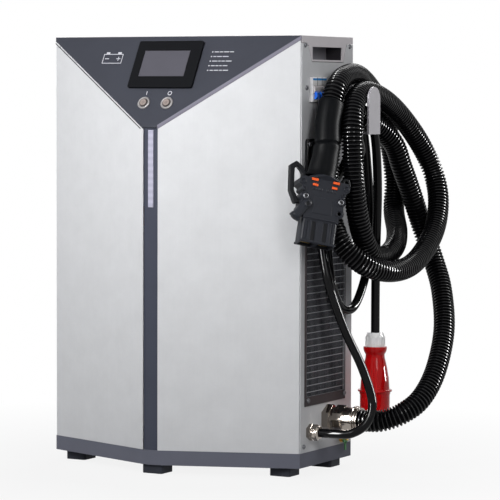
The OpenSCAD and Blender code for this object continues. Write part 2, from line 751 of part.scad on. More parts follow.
module gland_locknuts() {
    color("#a9a498") {
        at_dc() translate([0, 0, -sheet - 7]) difference() {
            cylinder(d = 62, h = 7, $fn = 6);
            translate([0, 0, -1]) cylinder(d = dc_shank_d + 2 * run_fit, h = 9, $fn = 64);
        }
        at_ac() translate([0, 0, -sheet - 5]) difference() {
            cylinder(d = 34, h = 5, $fn = 6);
            translate([0, 0, -1]) cylinder(d = ac_shank_d + 2 * run_fit, h = 7, $fn = 48);
        }
    }
}
module earth_stud() {
    color("#c9b27a") translate([side_x, earth_y, earth_z]) rotate([0, 90, 0]) union() {
        translate([0, 0, -16]) cylinder(d = 8, h = 30, $fn = 32);
        cylinder(d = 16, h = 1.6, $fn = 48);
        translate([0, 0, 1.6]) cylinder(d = 15, h = 6.5, $fn = 6);
    }
}

// inside

module module_rack() {
    half = mod_w / 2 + 2;
    y0 = mod_y - mod_d / 2 - 2;
    y1 = mod_y + mod_d / 2;
    color("#b9bcc0") union() {
        for (x = [-1, 1]) for (y = [y0, y1 - post_w]) translate([0, y, floor_z]) {
            translate([x > 0 ? half : -half - post_w, y == y0 ? 0 : post_w - sheet, 0])
                cube([post_w, sheet, top_shelf_z - floor_z]);
            translate([x > 0 ? half + post_w - sheet : -half - post_w, 0, 0])
                cube([sheet, post_w, top_shelf_z - floor_z]);
        }
        for (z = [mod_low_z, mod_low_z + mod_step, top_shelf_z])
            translate([-half - post_w, y0, z - shelf_t]) cube([2 * (half + post_w), y1 - y0, shelf_t]);
    }
}

module power_module(z) {
    color("#a9adb2") difference() {
        union() {
            translate([-mod_w / 2, mod_y - mod_d / 2, z]) cube([mod_w, mod_d, mod_h]);
            translate([mod_w / 2, mod_y - fan_s / 2, z + (mod_h - fan_s) / 2]) cube([fan_t, fan_s, fan_s]);
        }
        for (i = [0 : 8]) translate([-mod_w / 2 - 1, mod_y - mod_d / 2 + 14 + i * 18, z + 15]) cube([30, 8, mod_h - 30]);
        translate([mod_w / 2 + 3, mod_y, z + mod_h / 2]) rotate([0, 90, 0]) difference() {
            cylinder(d = fan_open_d, h = fan_t, $fn = 64);
            translate([0, 0, -1]) cylinder(d = fan_pin_d, h = fan_t - 4, $fn = 32);
        }
    }
}
module power_module_lower() { power_module(mod_low_z); }
module power_module_upper() { power_module(mod_low_z + mod_step); }

module fan_rotor(z) {
    color("#1c1d21") translate([mod_w / 2 + 4, mod_y, z + mod_h / 2]) rotate([0, 90, 0]) difference() {
        union() {
            cylinder(d = fan_hub_d, h = 26, $fn = 48);
            for (i = [0 : 6]) rotate(i * 360 / 7) translate([fan_hub_d / 2 - 1.5, 0, 13])
                rotate([40, 0, 0]) translate([0, -14, -1.2]) cube([(fan_tip_d - fan_hub_d) / 2 - 2.5, 28, 2.4]);
        }
        translate([0, 0, -1]) cylinder(d = fan_pin_d + 2 * run_fit, h = 40, $fn = 32);
    }
}
module fan_rotor_lower() { fan_rotor(mod_low_z); }
module fan_rotor_upper() { fan_rotor(mod_low_z + mod_step); }

board_w = 170;
board_h = 106;
board_drop = 32;
module control_board() {
    color("#2f5d3f") on_slope() translate([display_u, -display_v, -board_drop]) union() {
        linear_extrude(1.6) square([board_w, board_h], center = true);
        for (x = [-1, 1], y = [-1, 1]) translate([x * (board_w / 2 - 6), y * (board_h / 2 - 6), 0])
            cylinder(d = 7, h = board_drop - ctrl_t, $fn = 24);
        translate([-40, -20, -14]) cube([70, 36, 14]);
    }
}

module ac_contactor() {
    base = contactor_base;
    head = [base[0] - 2 * contactor_step, base[1] - 2.5 * contactor_step, base[2]];
    color("#3b3d44") translate([mod_w / 2 - base[0] + 6, mod_y - base[1] / 2 + 26, top_shelf_z]) union() {
        cube(base);
        translate([(base[0] - head[0]) / 2, (base[1] - head[1]) / 2, base[2] - 0.5]) cube(head);
        for (i = [-1, 0, 1]) translate([base[0] / 2 + i * head[0] / 3, base[1] / 2, base[2] + head[2]])
            cube([head[0] / 4, head[1] - 4, contactor_step], center = true);
    }
}

module dc_output_bus() {
    color("#b5714a") translate([-bus_l * 0.28, mod_y, top_shelf_z]) union() {
        for (y = [-1, 1]) translate([0, y * bus_gap / 2, 0]) {
            for (x = [-1, 1]) translate([x * (bus_l / 2 - bus_w), 0, 0]) cylinder(d = bus_w, h = bus_stand, $fn = 32);
            translate([0, 0, bus_stand + bus_t / 2 - 0.5]) cube([bus_l, bus_w, bus_t], center = true);
        }
    }
}

// DC lead

module at_conn() {
    translate(hose_line[hose_end]) rotate([conn_tilt, 0, 0]) rotate([0, conn_lean, 0]) rotate([0, 0, conn_turn]) children();
}
body_low = -neck_h - conn_body_h;
mate_low = body_low - mate_h;
screw_z = -neck_h - 36;
boss_z = -neck_h - 57;
loop_t = 12;
key_u = 18;

module dc_hose() { color("#1a1a1d") sweep_tube(hose_line, 0, boot_from, hose_d); }
module hose_boot() { color("#1f2024") sweep_tube(hose_line, boot_from, hose_end, boot_d); }

// Right half of the connector's face: a scalloped wing, a waist and a straight body.
module conn_face() {
    w = conn_w / 2;
    t = wing_w / 2;
    polygon([[-1, body_low], [w, body_low], [w, -neck_h - 30], [w + 3, -neck_h - 27], [w + 8, -neck_h - 24],
        [w + 8, -neck_h - 18], [t, -neck_h - 14], [t, -neck_h - 5], [t - 5, -neck_h], [-1, -neck_h]]);
    translate([w, screw_z]) circle(d = ear_d, $fn = 40);
    translate([w, boss_z]) circle(d = ear_d - 1, $fn = 40);
    translate([w - ear_d / 2, boss_z]) square([ear_d - 3, screw_z - boss_z]);
}

module dc_connector_housing() {
    color("#3a3d45") at_conn() difference() {
        union() {
            hull() {
                translate([0, 0, -1]) cylinder(d = boot_d + 3, h = 1, $fn = 32);
                translate([0, 0, -neck_h - 1]) linear_extrude(1) round_rect(conn_w, conn_t, 6);
            }
            translate([0, conn_t / 2, 0]) rotate([90, 0, 0]) linear_extrude(conn_t) union() {
                conn_face();
                mirror([1, 0]) conn_face();
            }
            translate([0, 0, mate_low]) linear_extrude(mate_h + 1) round_rect(mate_w, mate_t, 8);
        }
        for (x = [-1, 1]) {
            translate([x * mate_w / 4 - 13, -mate_t / 2 + 4, mate_low - 1]) cube([26, mate_t - 8, mouth_d + 1]);
            translate([x * conn_w / 2, 0, boss_z]) rotate([90, 0, 0]) cylinder(d = 7, h = 60, center = true, $fn = 32);
        }
        for (x = [-28, -23, 23, 28], y = [-1, 1])
            translate([x - 1, y * mate_t / 2 - 1.2, mate_low - 1]) cube([2, 2.4, mate_h - 2]);
        for (x = [-11, 11], y = [-1, 1])
            translate([x - 3.5, y * mate_t / 2 - 2, mate_low - 1]) cube([7, 4, mate_h - 2]);
    }
}

// The carrying loop at the left of the connector, down to its locking bar, and a short one at the right.
module connector_handles() {
    w = conn_w / 2;
    t = wing_w / 2;
    color("#32353c") at_conn() translate([0, loop_t / 2, -neck_h]) rotate([90, 0, 0]) linear_extrude(loop_t) union() {
        polygon([[-t + 13, 0], [-t + 13, 9], [-t + 6, 20], [-t - 7, 28], [-t - 19, 18], [-t - 14, -28], [-t - 2, -50],
            [-w - 6, -47.5], [-w - 11, -38], [-t - 5, -26], [-t - 9, 14], [-t - 5, 18], [-t + 2, 12], [-t + 6, 6],
            [-t + 6, 0]]);
        polygon([[t - 12.5, 0], [t - 12.5, 8], [t - 7, 13], [t + 1, 12], [t + 4, 4], [t + 3.5, -9], [t, -9],
            [t, -5.5], [t - 0.2, 3], [t - 2, 7.5], [t - 6, 8], [t - 7.5, 5], [t - 7.5, 0]]);
    }
}

module connector_contacts() {
    color("#c7a45a") at_conn() union() {
        for (x = [-1, 1]) translate([x * mate_w / 4 - 8, 4, mate_low + 4]) cube([16, 5, mouth_d - 4]);
    }
}
module connector_screws() {
    color("#d0d2d6") at_conn() for (x = [-1, 1])
        translate([x * conn_w / 2, -conn_t / 2, screw_z]) rotate([90, 0, 0])
            rotate_extrude($fn = 24) polygon([[0, 0], [5, 0], [5, 1.2], [3.8, 2.6], [1.6, 2.6], [1.6, 1.2], [0, 1.2]]);
}
// Coloured keys along the front edge of the wing and on its face.
module connector_keys() {
    color("#f05a14") at_conn() for (x = [-1, 1]) {
        translate([x * (key_u + 2) - 6, -conn_t / 2 - 2.4, -neck_h - 5.5]) cube([12, 2.4, 4.5]);
        translate([x * key_u - 5, -conn_t / 2 - 1.8, -neck_h - 15]) cube([10, 1.8, 4.5]);
    }
}

// AC lead

module at_plug() { translate(cable_line[len(cable_line) - 1]) children(); }
plug_nut_low = plug_top - plug_nut_h;
module ac_cable() { color("#151517") sweep_tube(cable_line, 0, len(cable_line) - 1, cable_d); }

module plug_nut() {
    color("#e1dae0") at_plug() translate([0, 0, -plug_nut_h]) difference() {
        union() {
            rotate_extrude($fn = 48) polygon([[0, 0], [plug_nut_d / 2 - 1, 0], [plug_nut_d / 2 - 1, plug_nut_h - 7],
                [plug_nut_d / 2 - 4, plug_nut_h], [0, plug_nut_h]]);
            for (i = [0 : 11]) rotate(30 * i) translate([plug_nut_d / 2 - 2.5, -2, 2]) cube([2.5, 4, plug_nut_h - 10]);
        }
        translate([0, 0, -1]) cylinder(d = cable_d - 4, h = plug_nut_h + 2, $fn = 32);
    }
}

// The plug's turned outline, down from the nut to the open sleeve.
module plug_body() {
    z = sleeve_low - plug_top;
    flange = z + 39;
    floor_in = z + 30;
    color("#a80f14") at_plug() difference() {
        rotate_extrude($fn = 64) polygon([[0, -plug_nut_h], [22, -plug_nut_h], [22, -plug_nut_h - 5],
            [21, -plug_nut_h - 9], [17.8, -plug_nut_h - 15], [18.2, -plug_nut_h - 21], [20.5, -plug_nut_h - 30],
            [22.9, -plug_nut_h - 41], [24.8, -plug_nut_h - 53], [26.3, flange + 19], [27, flange + 9],
            [plug_sleeve_d / 2 - 0.5, flange + 3], [plug_sleeve_d / 2 - 0.5, flange + 1.5],
            [plug_flange_d / 2, flange + 1.5], [plug_flange_d / 2, flange - 2],
            [plug_sleeve_d / 2 + 1, flange - 2], [plug_sleeve_d / 2 + 1, flange - 6],
            [plug_sleeve_d / 2, flange - 8], [plug_sleeve_d / 2, z], [plug_sleeve_d / 2 - sleeve_wall, z],
            [plug_sleeve_d / 2 - sleeve_wall, floor_in], [0, floor_in]]);
        translate([0, 0, -plug_nut_h - 30]) cylinder(d = cable_d - 4, h = 40, $fn = 32);
    }
}

module plug_pins() {
    z = sleeve_low - plug_top;
    color("#cfc9bd") at_plug() for (i = [0 : 4]) rotate(72 * i) translate([0, -15, z + 4])
        cylinder(d = i == 0 ? 8 : 6, h = 26, $fn = 24);
}

base_plinth();
rubber_feet();
foot_bolts();
left_front_panel();
right_front_panel();
prow_pillar();
led_light_bar();
control_panel();
top_lid();
right_side_panel();
left_side_panel();
rear_panel();
right_handle_pocket();
left_handle_pocket();
right_vent_grille();
left_vent_grille();
right_filter_mat();
left_filter_mat();
display_bezel();
display_screen();
start_button_bezel();
stop_button_bezel();
start_button_cap();
stop_button_cap();
breaker_body();
breaker_toggle();
breaker_rail();
cable_hook();
connector_holster();
dc_gland_body();
dc_gland_nut();
ac_gland_body();
ac_gland_nut();
gland_locknuts();
earth_stud();
panel_screws();
module_rack();
power_module_upper();
power_module_lower();
fan_rotor_upper();
fan_rotor_lower();
control_board();
ac_contactor();
dc_output_bus();
dc_hose();
hose_boot();
dc_connector_housing();
connector_handles();
connector_contacts();
connector_screws();
connector_keys();
ac_cable();
plug_nut();
plug_body();
plug_pins();
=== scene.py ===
"""Looks of a floor-standing traction battery charger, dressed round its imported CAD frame."""

from __future__ import annotations

import json
import logging
import math
from collections.abc import Callable, Iterable, Sequence
from dataclasses import dataclass, field, replace
from enum import Enum
from functools import partial

import bmesh
import bpy
from mathutils import Matrix, Vector

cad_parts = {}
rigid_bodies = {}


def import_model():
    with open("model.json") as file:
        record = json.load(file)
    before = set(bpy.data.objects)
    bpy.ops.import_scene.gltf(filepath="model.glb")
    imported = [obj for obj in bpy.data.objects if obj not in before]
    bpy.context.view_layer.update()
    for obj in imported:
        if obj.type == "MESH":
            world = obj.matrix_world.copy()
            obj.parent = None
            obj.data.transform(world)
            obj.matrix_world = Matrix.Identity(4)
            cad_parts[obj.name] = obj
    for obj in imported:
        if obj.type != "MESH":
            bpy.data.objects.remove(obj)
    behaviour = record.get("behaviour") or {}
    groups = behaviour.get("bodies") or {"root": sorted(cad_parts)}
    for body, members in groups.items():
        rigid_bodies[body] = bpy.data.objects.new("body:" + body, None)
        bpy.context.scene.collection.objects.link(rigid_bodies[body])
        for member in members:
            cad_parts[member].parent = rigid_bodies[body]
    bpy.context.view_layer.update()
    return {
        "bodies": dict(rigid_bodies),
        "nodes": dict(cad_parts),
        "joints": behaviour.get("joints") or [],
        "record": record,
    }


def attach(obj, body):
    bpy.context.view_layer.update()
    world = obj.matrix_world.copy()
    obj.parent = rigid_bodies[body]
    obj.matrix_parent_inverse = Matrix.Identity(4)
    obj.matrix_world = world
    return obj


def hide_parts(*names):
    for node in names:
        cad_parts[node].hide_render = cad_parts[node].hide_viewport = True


LOG = logging.getLogger("charger")
Point = tuple[float, float, float]
Outline = Sequence[tuple[float, float]]
Colour = tuple[float, float, float, float]
FaceTest = Callable[[bmesh.types.BMFace], bool]
MeshWork = Callable[[bmesh.types.BMesh], None]

WHITE: Colour = (1.0, 1.0, 1.0, 1.0)
MM = 0.001
QUARTER = math.pi / 2

# Vertex value of a swept tube: its radius there as a share of its widest.
GIRTH = "girth"

# Heights of bumps, in metres: moulded skins, tool lines, flakes and rings, foam cells.
SKIN_DEPTH = 0.0002
LINE_DEPTH = 0.0001
FLAKE_DEPTH = 0.00012
CELL_DEPTH = 0.0012

# Distances, in metres, within which points of a CAD mesh and of a spun seam are one.
WELD = 2e-6
SEAM = 1e-6

# Angle, in degrees, under which two faces are one flat face.
FLAT = 0.4

# Share of a face's direction along an axis from which it counts as facing that way.
FACING = 0.9

# Rounding of a print's edges, in metres.
INK_EDGE = 0.0001


class Body(Enum):
    """The frame's bodies that pieces ride on."""

    CABINET = "cabinet"
    START = "start_button"
    STOP = "stop_button"
    LEVER = "breaker_lever"


class Edge(Enum):
    """How far the edges of a kind of part are rounded, in metres."""

    FINE = 0.00025
    SHEET = 0.0005
    MOULDED = 0.0009
    SOFT = 0.0018


def tint(code: str, gain: float = 1.0) -> Colour:
    """Turn an sRGB colour code into a linear colour.

    Args:
        code: A six-digit code with a leading #.
        gain: A factor on the linear value.

    Returns:
        Red, green, blue and alpha.
    """
    parts = [int(code[i:i + 2], 16) / 255 for i in (1, 3, 5)]
    lin = [p / 12.92 if p <= 0.04045 else ((p + 0.055) / 1.055) ** 2.4 for p in parts]
    return (min(lin[0] * gain, 1.0), min(lin[1] * gain, 1.0), min(lin[2] * gain, 1.0), 1.0)


class Wire:
    """A shader socket that takes part in Python sums."""

    def __init__(self, shader: Shader, socket: bpy.types.NodeSocket) -> None:
        """Keep the socket and the shader it belongs to."""
        self.shader = shader
        self.socket = socket

    def sum(self, operation: str, first: Wire | float, second: Wire | float = 0.0) -> Wire:
        """Add one Math node.

        Args:
            operation: The Math node's operation.
            first: Its first value.
            second: Its second value.

        Returns:
            The node's result.
        """
        return self.shader.node("ShaderNodeMath", {"operation": operation}, {0: first, 1: second})

    def __add__(self, other: Wire | float) -> Wire:
        """Sum of two values."""
        return self.sum("ADD", self, other)

    __radd__ = __add__

    def __sub__(self, other: Wire | float) -> Wire:
        """Difference of two values."""
        return self.sum("SUBTRACT", self, other)

    def __rsub__(self, other: Wire | float) -> Wire:
        """Difference with this value taken away."""
        return self.sum("SUBTRACT", other, self)

    def __mul__(self, other: Wire | float) -> Wire:
        """Product of two values."""
        return self.sum("MULTIPLY", self, other)

    __rmul__ = __mul__

    def __truediv__(self, other: Wire | float) -> Wire:
        """Quotient of two values."""
        return self.sum("DIVIDE", self, other)

    def __rtruediv__(self, other: Wire | float) -> Wire:
        """Quotient with this value as the divisor."""
        return self.sum("DIVIDE", other, self)

    def __pow__(self, other: Wire | float) -> Wire:
        """Power of a value."""
        return self.sum("POWER", self, other)

    def __rpow__(self, other: Wire | float) -> Wire:
        """Power with this value as the exponent."""
        return self.sum("POWER", other, self)

    def above(self, edge: Wire | float) -> Wire:
        """One where the value is over the edge, else nought."""
        return self.sum("GREATER_THAN", self, edge)

    def most(self, other: Wire | float) -> Wire:
        """The larger of two values."""
        return self.sum("MAXIMUM", self, other)

    def least(self, other: Wire | float) -> Wire:
        """The smaller of two values."""
        return self.sum("MINIMUM", self, other)

    def held(self) -> Wire:
        """The value kept between nought and one."""
        return self.most(0.0).least(1.0)

    def wave(self) -> Wire:
        """Sine of the value."""
        return self.sum("SINE", self)


class Shader:
    """A node tree that is written as sums and calls."""

    def __init__(self, tree: bpy.types.NodeTree) -> None:
        """Take over a tree and clear it."""
        self.tree = tree
        self.tree.nodes.clear()

    def node(self, kind: str, settings: dict[str, object] | None = None,
             inputs: dict[int | str, object] | None = None, output: int | str = 0) -> Wire:
        """Add any node.

        Args:
            kind: The node's type name.
            settings: Its properties, which are set first.
            inputs: Values or wires by socket name or number.
            output: The socket to return.

        Returns:
            The chosen output.
        """
        made = self.tree.nodes.new(kind)
        for key, value in (settings or {}).items():
            setattr(made, key, value)
        for key, value in (inputs or {}).items():
            if isinstance(value, Wire):
                self.tree.links.new(value.socket, made.inputs[key])
            else:
                made.inputs[key].default_value = value
        return Wire(self, made.outputs[output]) if len(made.outputs) else Wire(self, made.inputs[0])

    def place(self, stretch: Point = (1.0, 1.0, 1.0), turn: Point = (0.0, 0.0, 0.0)) -> Wire:
        """Object coordinates.

        Args:
            stretch: Scale of each axis.
            turn: Turn about each axis, in radians.

        Returns:
            The mapped coordinates.
        """
        raw = self.node("ShaderNodeTexCoord", output="Object")
        if stretch == (1.0, 1.0, 1.0) and turn == (0.0, 0.0, 0.0):
            return raw
        return self.node("ShaderNodeMapping", None, {"Vector": raw, "Rotation": turn, "Scale": stretch})

    def axis(self, which: str, vector: Wire | None = None) -> Wire:
        """One axis, X, Y or Z, of the coordinates."""
        return self.node("ShaderNodeSeparateXYZ", None, {0: vector or self.place()}, which)

    def noise(self, vector: Wire, scale: float, detail: float = 2.0, rough: float = 0.5) -> Wire:
        """Noise about nought.

        Args:
            vector: Coordinates.
            scale: Cells to a metre.
            detail: Octaves.
            rough: Weight of the finer octaves.

        Returns:
            A value from about -0.5 to 0.5.
        """
        raw = self.node("ShaderNodeTexNoise", None, {
            "Vector": vector, "Scale": scale, "Detail": detail, "Roughness": rough})
        return raw - 0.5

    def cells(self, vector: Wire, scale: float) -> Wire:
        """Distance to the nearest of scattered points."""
        return self.node("ShaderNodeTexVoronoi", None, {"Vector": vector, "Scale": scale})

    def blend(self, share: Wire | float, first: Wire | Colour, second: Wire | Colour) -> Wire:
        """Mix two colours.

        Args:
            share: Share of the second colour.
            first: The first colour.
            second: The second colour.

        Returns:
            The mixed colour.
        """
        return self.node("ShaderNodeMix", {"data_type": "RGBA"}, {0: share, 6: first, 7: second}, 2)

    def bump(self, height: Wire, strength: float, distance: float) -> Wire:
        """Surface direction from a height.

        Args:
            height: The height, about nought to one.
            strength: Share of the effect.
            distance: Height of one, in metres.

        Returns:
            The bent normal.
        """
        return self.node("ShaderNodeBump", None, {
            "Strength": strength, "Distance": distance, "Height": height})

    def surface(self, sockets: dict[str, object]) -> None:
        """Close a material with a principled shader."""
        shader = self.node("ShaderNodeBsdfPrincipled", None, sockets)
        self.node("ShaderNodeOutputMaterial", None, {"Surface": shader})


@dataclass(frozen=True)
class Finish:
    """A surface finish, made into a material once.

    Attributes:
        name: Name of the material.
        colour: Colour code.
        rough: Roughness.
        metal: Metallic share.
        shine: Strength of the mirror share of a surface that is no metal.
    """

    name: str
    colour: str
    rough: float = 0.5
    metal: float = 0.0
    shine: float = 0.5

    def material(self) -> bpy.types.Material:
        """Give the material, and make it at first use.

        Returns:
            The material.
        """
        title = f"look_{self.name}"
        made = bpy.data.materials.get(title)
        if made is None:
            made = bpy.data.materials.new(title)
            made.use_nodes = True
            self.lay(Shader(made.node_tree))
        return made

    def tones(self, shader: Shader, shift: Wire, low: float = 0.8, high: float = 1.2) -> Wire:
        """Shade the finish's colour.

        Args:
            shader: The tree to add to.
            shift: Tone about nought.
            low: Gain at -0.5.
            high: Gain at 0.5.

        Returns:
            The shaded colour.
        """
        return shader.blend((shift + 0.5).held(), tint(self.colour, low), tint(self.colour, high))

    def lay(self, shader: Shader) -> None:
        """Fill the material's tree."""
        raise NotImplementedError


@dataclass(frozen=True)
class SheetFinish(Finish):
    """Pale painted sheet with a soft mottle and a faint upright grain.

    Attributes:
        mottle: Strength of the cloudy patches.
        grain: Strength of the upright lines.
    """

    mottle: float = 0.5
    grain: float = 0.12

    def lay(self, shader: Shader) -> None:
        """Fill the tree with patches, grain and flakes.

        Args:
            shader: The tree to fill.
        """
        place = shader.place()
        cloud = shader.noise(place, 26.0, 4.0, 0.62)
        lines = shader.noise(shader.place((420.0, 420.0, 9.0)), 1.0, 3.0, 0.6)
        flake = shader.noise(place, 1700.0, 1.0)
        # Darker and rougher towards the bottom of a sheet, over its lowest eleven centimetres.
        dust = 1.0 - (shader.axis("Z") * 9.0).held()
        shift = cloud * self.mottle + lines * self.grain + flake * 0.25 - dust * 0.12
        rough = self.rough + cloud * 0.16 + lines * 0.1 + dust * 0.15
        shader.surface({
            "Base Color": self.tones(shader, shift, 0.84, 1.14), "Roughness": rough,
            "Metallic": self.metal, "Specular IOR Level": self.shine,
            "Normal": shader.bump(flake + lines * 0.6, 0.16, FLAKE_DEPTH)})


@dataclass(frozen=True)
class PowderCoat(Finish):
    """Textured coat with an orange-peel skin, settled dust and rubbed spots."""

    def lay(self, shader: Shader) -> None:
        """Fill the tree with peel, dust and rubbing.

        Args:
            shader: The tree to fill.
        """
        place = shader.place()
        peel = shader.noise(place, 900.0, 2.0, 0.55)
        cloud = shader.noise(place, 14.0, 4.0, 0.6)
        pits = shader.cells(place, 1300.0)
        dust = 1.0 - (shader.axis("Z") * 7.0).held()
        rub = (shader.noise(place, 70.0, 5.0, 0.7) - 0.17).held() * 2.0
        shift = cloud * 0.45 + peel * 0.3 + dust * 0.14 + rub * 0.3
        rough = self.rough + cloud * 0.14 - rub * 0.12 + dust * 0.1
        shader.surface({
            "Base Color": self.tones(shader, shift, 0.78, 1.24), "Roughness": rough,
            "Metallic": self.metal, "Specular IOR Level": self.shine,
            "Normal": shader.bump(peel + pits * 0.4, 0.25, SKIN_DEPTH)})


@dataclass(frozen=True)
class Moulded(Finish):
    """Moulded plastic with a fine spark texture and a slight sheen.

    Attributes:
        texture: Strength of the spark texture.
    """

    texture: float = 0.2

    def lay(self, shader: Shader) -> None:
        """Fill the tree with spark texture and handling marks.

        Args:
            shader: The tree to fill.
        """
        place = shader.place()
        spark = shader.noise(place, 2600.0, 2.0, 0.6)
        cloud = shader.noise(place, 40.0, 4.0, 0.6)
        scuff = (shader.noise(shader.place((60.0, 60.0, 400.0), (0.3, 0.2, 0.5)), 1.0, 3.0) - 0.2).held()
        rough = self.rough + cloud * 0.16 + scuff * 0.5 + spark * self.texture * 0.3
        shader.surface({
            "Base Color": self.tones(shader, cloud * 0.5 + spark * 0.2 + scuff * 0.5, 0.84, 1.18),
            "Roughness": rough, "Specular IOR Level": self.shine,
            "Normal": shader.bump(spark, self.texture, SKIN_DEPTH)})


@dataclass(frozen=True)
class SoftRubber(Finish):
    """Rubber or flexible jacket with flow marks, bloom and dust.

    Attributes:
        grit: Strength of the skin's texture.
    """

    grit: float = 0.15

    def lay(self, shader: Shader) -> None:
        """Fill the tree with skin, bloom and dust.

        Args:
            shader: The tree to fill.
        """
        place = shader.place()
        skin = shader.noise(place, 1500.0, 3.0, 0.6)
        bloom = shader.noise(place, 55.0, 5.0, 0.65)
        dust = (shader.noise(place, 18.0, 4.0, 0.6) - 0.08).held()
        shader.surface({
            "Base Color": self.tones(shader, bloom * 0.7 + skin * 0.2 + dust * 0.9, 0.7, 1.7),
            "Roughness": self.rough + bloom * 0.12 + dust * 0.2, "Specular IOR Level": self.shine,
            "Normal": shader.bump(skin, self.grit, SKIN_DEPTH)})


@dataclass(frozen=True)
class RibbedRubber(Finish):
    """Flexible hose jacket, polished on its crests, dull and in painted shade between them.

    Attributes:
        root: Share of the crest radius below which the jacket is dull and darkest.
        polish: Gloss of a crest.
    """

    root: float = 0.92
    polish: float = 0.4

    def lay(self, shader: Shader) -> None:
        """Fill the tree with polished crests, painted shade in the valleys, bloom and dust.

        Args:
            shader: The tree to fill.
        """
        place = shader.place()
        girth = shader.node("ShaderNodeAttribute", {"attribute_name": GIRTH}, output="Fac")
        crest = ((girth - self.root) / (1.0 - self.root)).held()
        bloom = shader.noise(place, 55.0, 5.0, 0.65)
        skin = shader.noise(place, 1500.0, 3.0, 0.6)
        dust = (shader.noise(place, 18.0, 4.0, 0.6) - 0.08).held()
        # The colour is darker in the valleys than on the crests: painted shade between the ribs.
        shader.surface({
            "Base Color": self.tones(shader, bloom * 0.6 + dust * 0.8 + crest * 0.5 - 0.3, 0.5, 1.8),
            "Roughness": self.rough + bloom * 0.1, "Specular IOR Level": self.shine,
            "Coat Weight": crest * (self.polish - dust * 0.3), "Coat Roughness": 0.12,
            "Normal": shader.bump(skin, 0.02, SKIN_DEPTH)})


@dataclass(frozen=True)
class BareMetal(Finish):
    """Plated, turned or rolled metal with tool lines and dull, darker patches.

    Attributes:
        lines: Scale of the tool lines along each axis.
        dull_tint: Colour code of the dull places.
    """

    lines: Point = (600.0, 600.0, 40.0)
    dull_tint: str = "#6f6a66"

    def lay(self, shader: Shader) -> None:
        """Fill the tree with tool lines and dull patches.

        Args:
            shader: The tree to fill.
        """
        tool = shader.noise(shader.place(self.lines), 1.0, 3.0, 0.6)
        cloud = shader.noise(shader.place(), 90.0, 4.0, 0.65)
        dull = (cloud * 1.6 - 0.12).held()
        colour = shader.blend(dull * 0.55, self.tones(shader, tool * 0.6 + cloud * 0.4, 0.82, 1.16),
                              tint(self.dull_tint))
        shader.surface({
            "Base Color": colour, "Roughness": self.rough + tool * 0.16 + dull * 0.2,
            "Metallic": self.metal, "Specular IOR Level": self.shine,
            "Normal": shader.bump(tool, 0.14, LINE_DEPTH)})


@dataclass(frozen=True)
class TurnedFace(Finish):
    """Metal with fine lathe rings about an axis, a painted highlight ring and painted shade at its edge.

    Attributes:
        centre: A point on the axis, in metres.
        turn: Tilt of the face about X, in radians.
        pitch: Rings to a metre.
        rim: Radius past which the face is painted dark, painted shade at its edge.
        highlight_band: Inner and outer radius of a painted highlight ring.
        rim_shade_colour: Colour code of the painted shade past the rim.
    """

    centre: Point = (0.0, 0.0, 0.0)
    turn: float = 0.0
    pitch: float = 5200.0
    rim: float = 0.0064
    highlight_band: tuple[float, float] = (0.0036, 0.0049)
    rim_shade_colour: str = "#2a2625"

    def lay(self, shader: Shader) -> None:
        """Fill the tree with rings about the centre, a painted highlight ring and painted shade past the
        rim.

        Args:
            shader: The tree to fill.
        """
        raw = shader.node("ShaderNodeTexCoord", output="Object")
        seated = shader.node("ShaderNodeVectorMath", {"operation": "SUBTRACT"}, {0: raw, 1: self.centre})
        flat = shader.node("ShaderNodeVectorRotate", {"rotation_type": "X_AXIS"},
                           {"Vector": seated, "Angle": -self.turn})
        across, up = shader.axis("X", flat), shader.axis("Y", flat)
        radius = (across * across + up * up) ** 0.5
        rings = (radius * self.pitch).wave()
        cloud = shader.noise(shader.place(), 160.0, 3.0)
        # Past the rim the face is painted dark, painted shade at its edge; a ring between two radii is
        # painted bright, a painted highlight.
        dark = radius.above(self.rim)
        bright = radius.above(self.highlight_band[0]) - radius.above(self.highlight_band[1])
        tone = self.tones(shader, rings * 0.16 + bright * 0.5 + cloud * 0.3, 0.74, 1.5)
        shader.surface({
            "Base Color": shader.blend(dark * 0.8, tone, tint(self.rim_shade_colour)),
            "Roughness": self.rough + rings * 0.06 + cloud * 0.12, "Metallic": self.metal,
            "Normal": shader.bump(rings * 0.5, 0.2, FLAKE_DEPTH)})


@dataclass(frozen=True)
class FrostedLens(Finish):
    """A pale diffuser over a light strip.

    Attributes:
        glow: Strength of its own light.
        lit: Colour code over a lamp of the strip.
    """

    glow: float = 0.03
    lit: str = "#d2d0e0"

    def lay(self, shader: Shader) -> None:
        """Fill the tree with frost and a faint row of lamps.

        Args:
            shader: The tree to fill.
        """
        place = shader.place()
        frost = shader.noise(place, 1800.0, 2.0)
        lamps = (shader.axis("Z") * 520.0).wave() * 0.5 + 0.5
        colour = shader.blend(lamps * 0.3 + frost * 0.2, tint(self.colour), tint(self.lit))
        shader.surface({
            "Base Color": colour, "Roughness": self.rough + frost * 0.15, "Emission Color": colour,
            "Emission Strength": self.glow, "Specular IOR Level": self.shine,
            "Normal": shader.bump(frost, 0.1, LINE_DEPTH)})


@dataclass(frozen=True)
class ScreenGlass(Finish):
    """A sleeping display: a grey film behind glass, with dots and wiped smears."""

    def lay(self, shader: Shader) -> None:
        """Fill the tree with dots and smears.

        Args:
            shader: The tree to fill.
        """
        place = shader.place()
        dots = (shader.axis("X") * 9000.0).wave() * (shader.axis("Y") * 9000.0).wave()
        smear = shader.noise(shader.place((30.0, 120.0, 60.0), (0.9, 0.4, 0.2)), 1.0, 4.0, 0.6)
        cloud = shader.noise(place, 9.0, 2.0)
        shader.surface({
            "Base Color": self.tones(shader, smear * 0.35 + cloud * 0.5 + dots * 0.05, 0.85, 1.15),
            "Roughness": self.rough + smear * 0.16, "Specular IOR Level": self.shine,
            "Coat Weight": 0.2, "Coat Roughness": 0.06,
            "Normal": shader.bump(smear, 0.02, SKIN_DEPTH)})


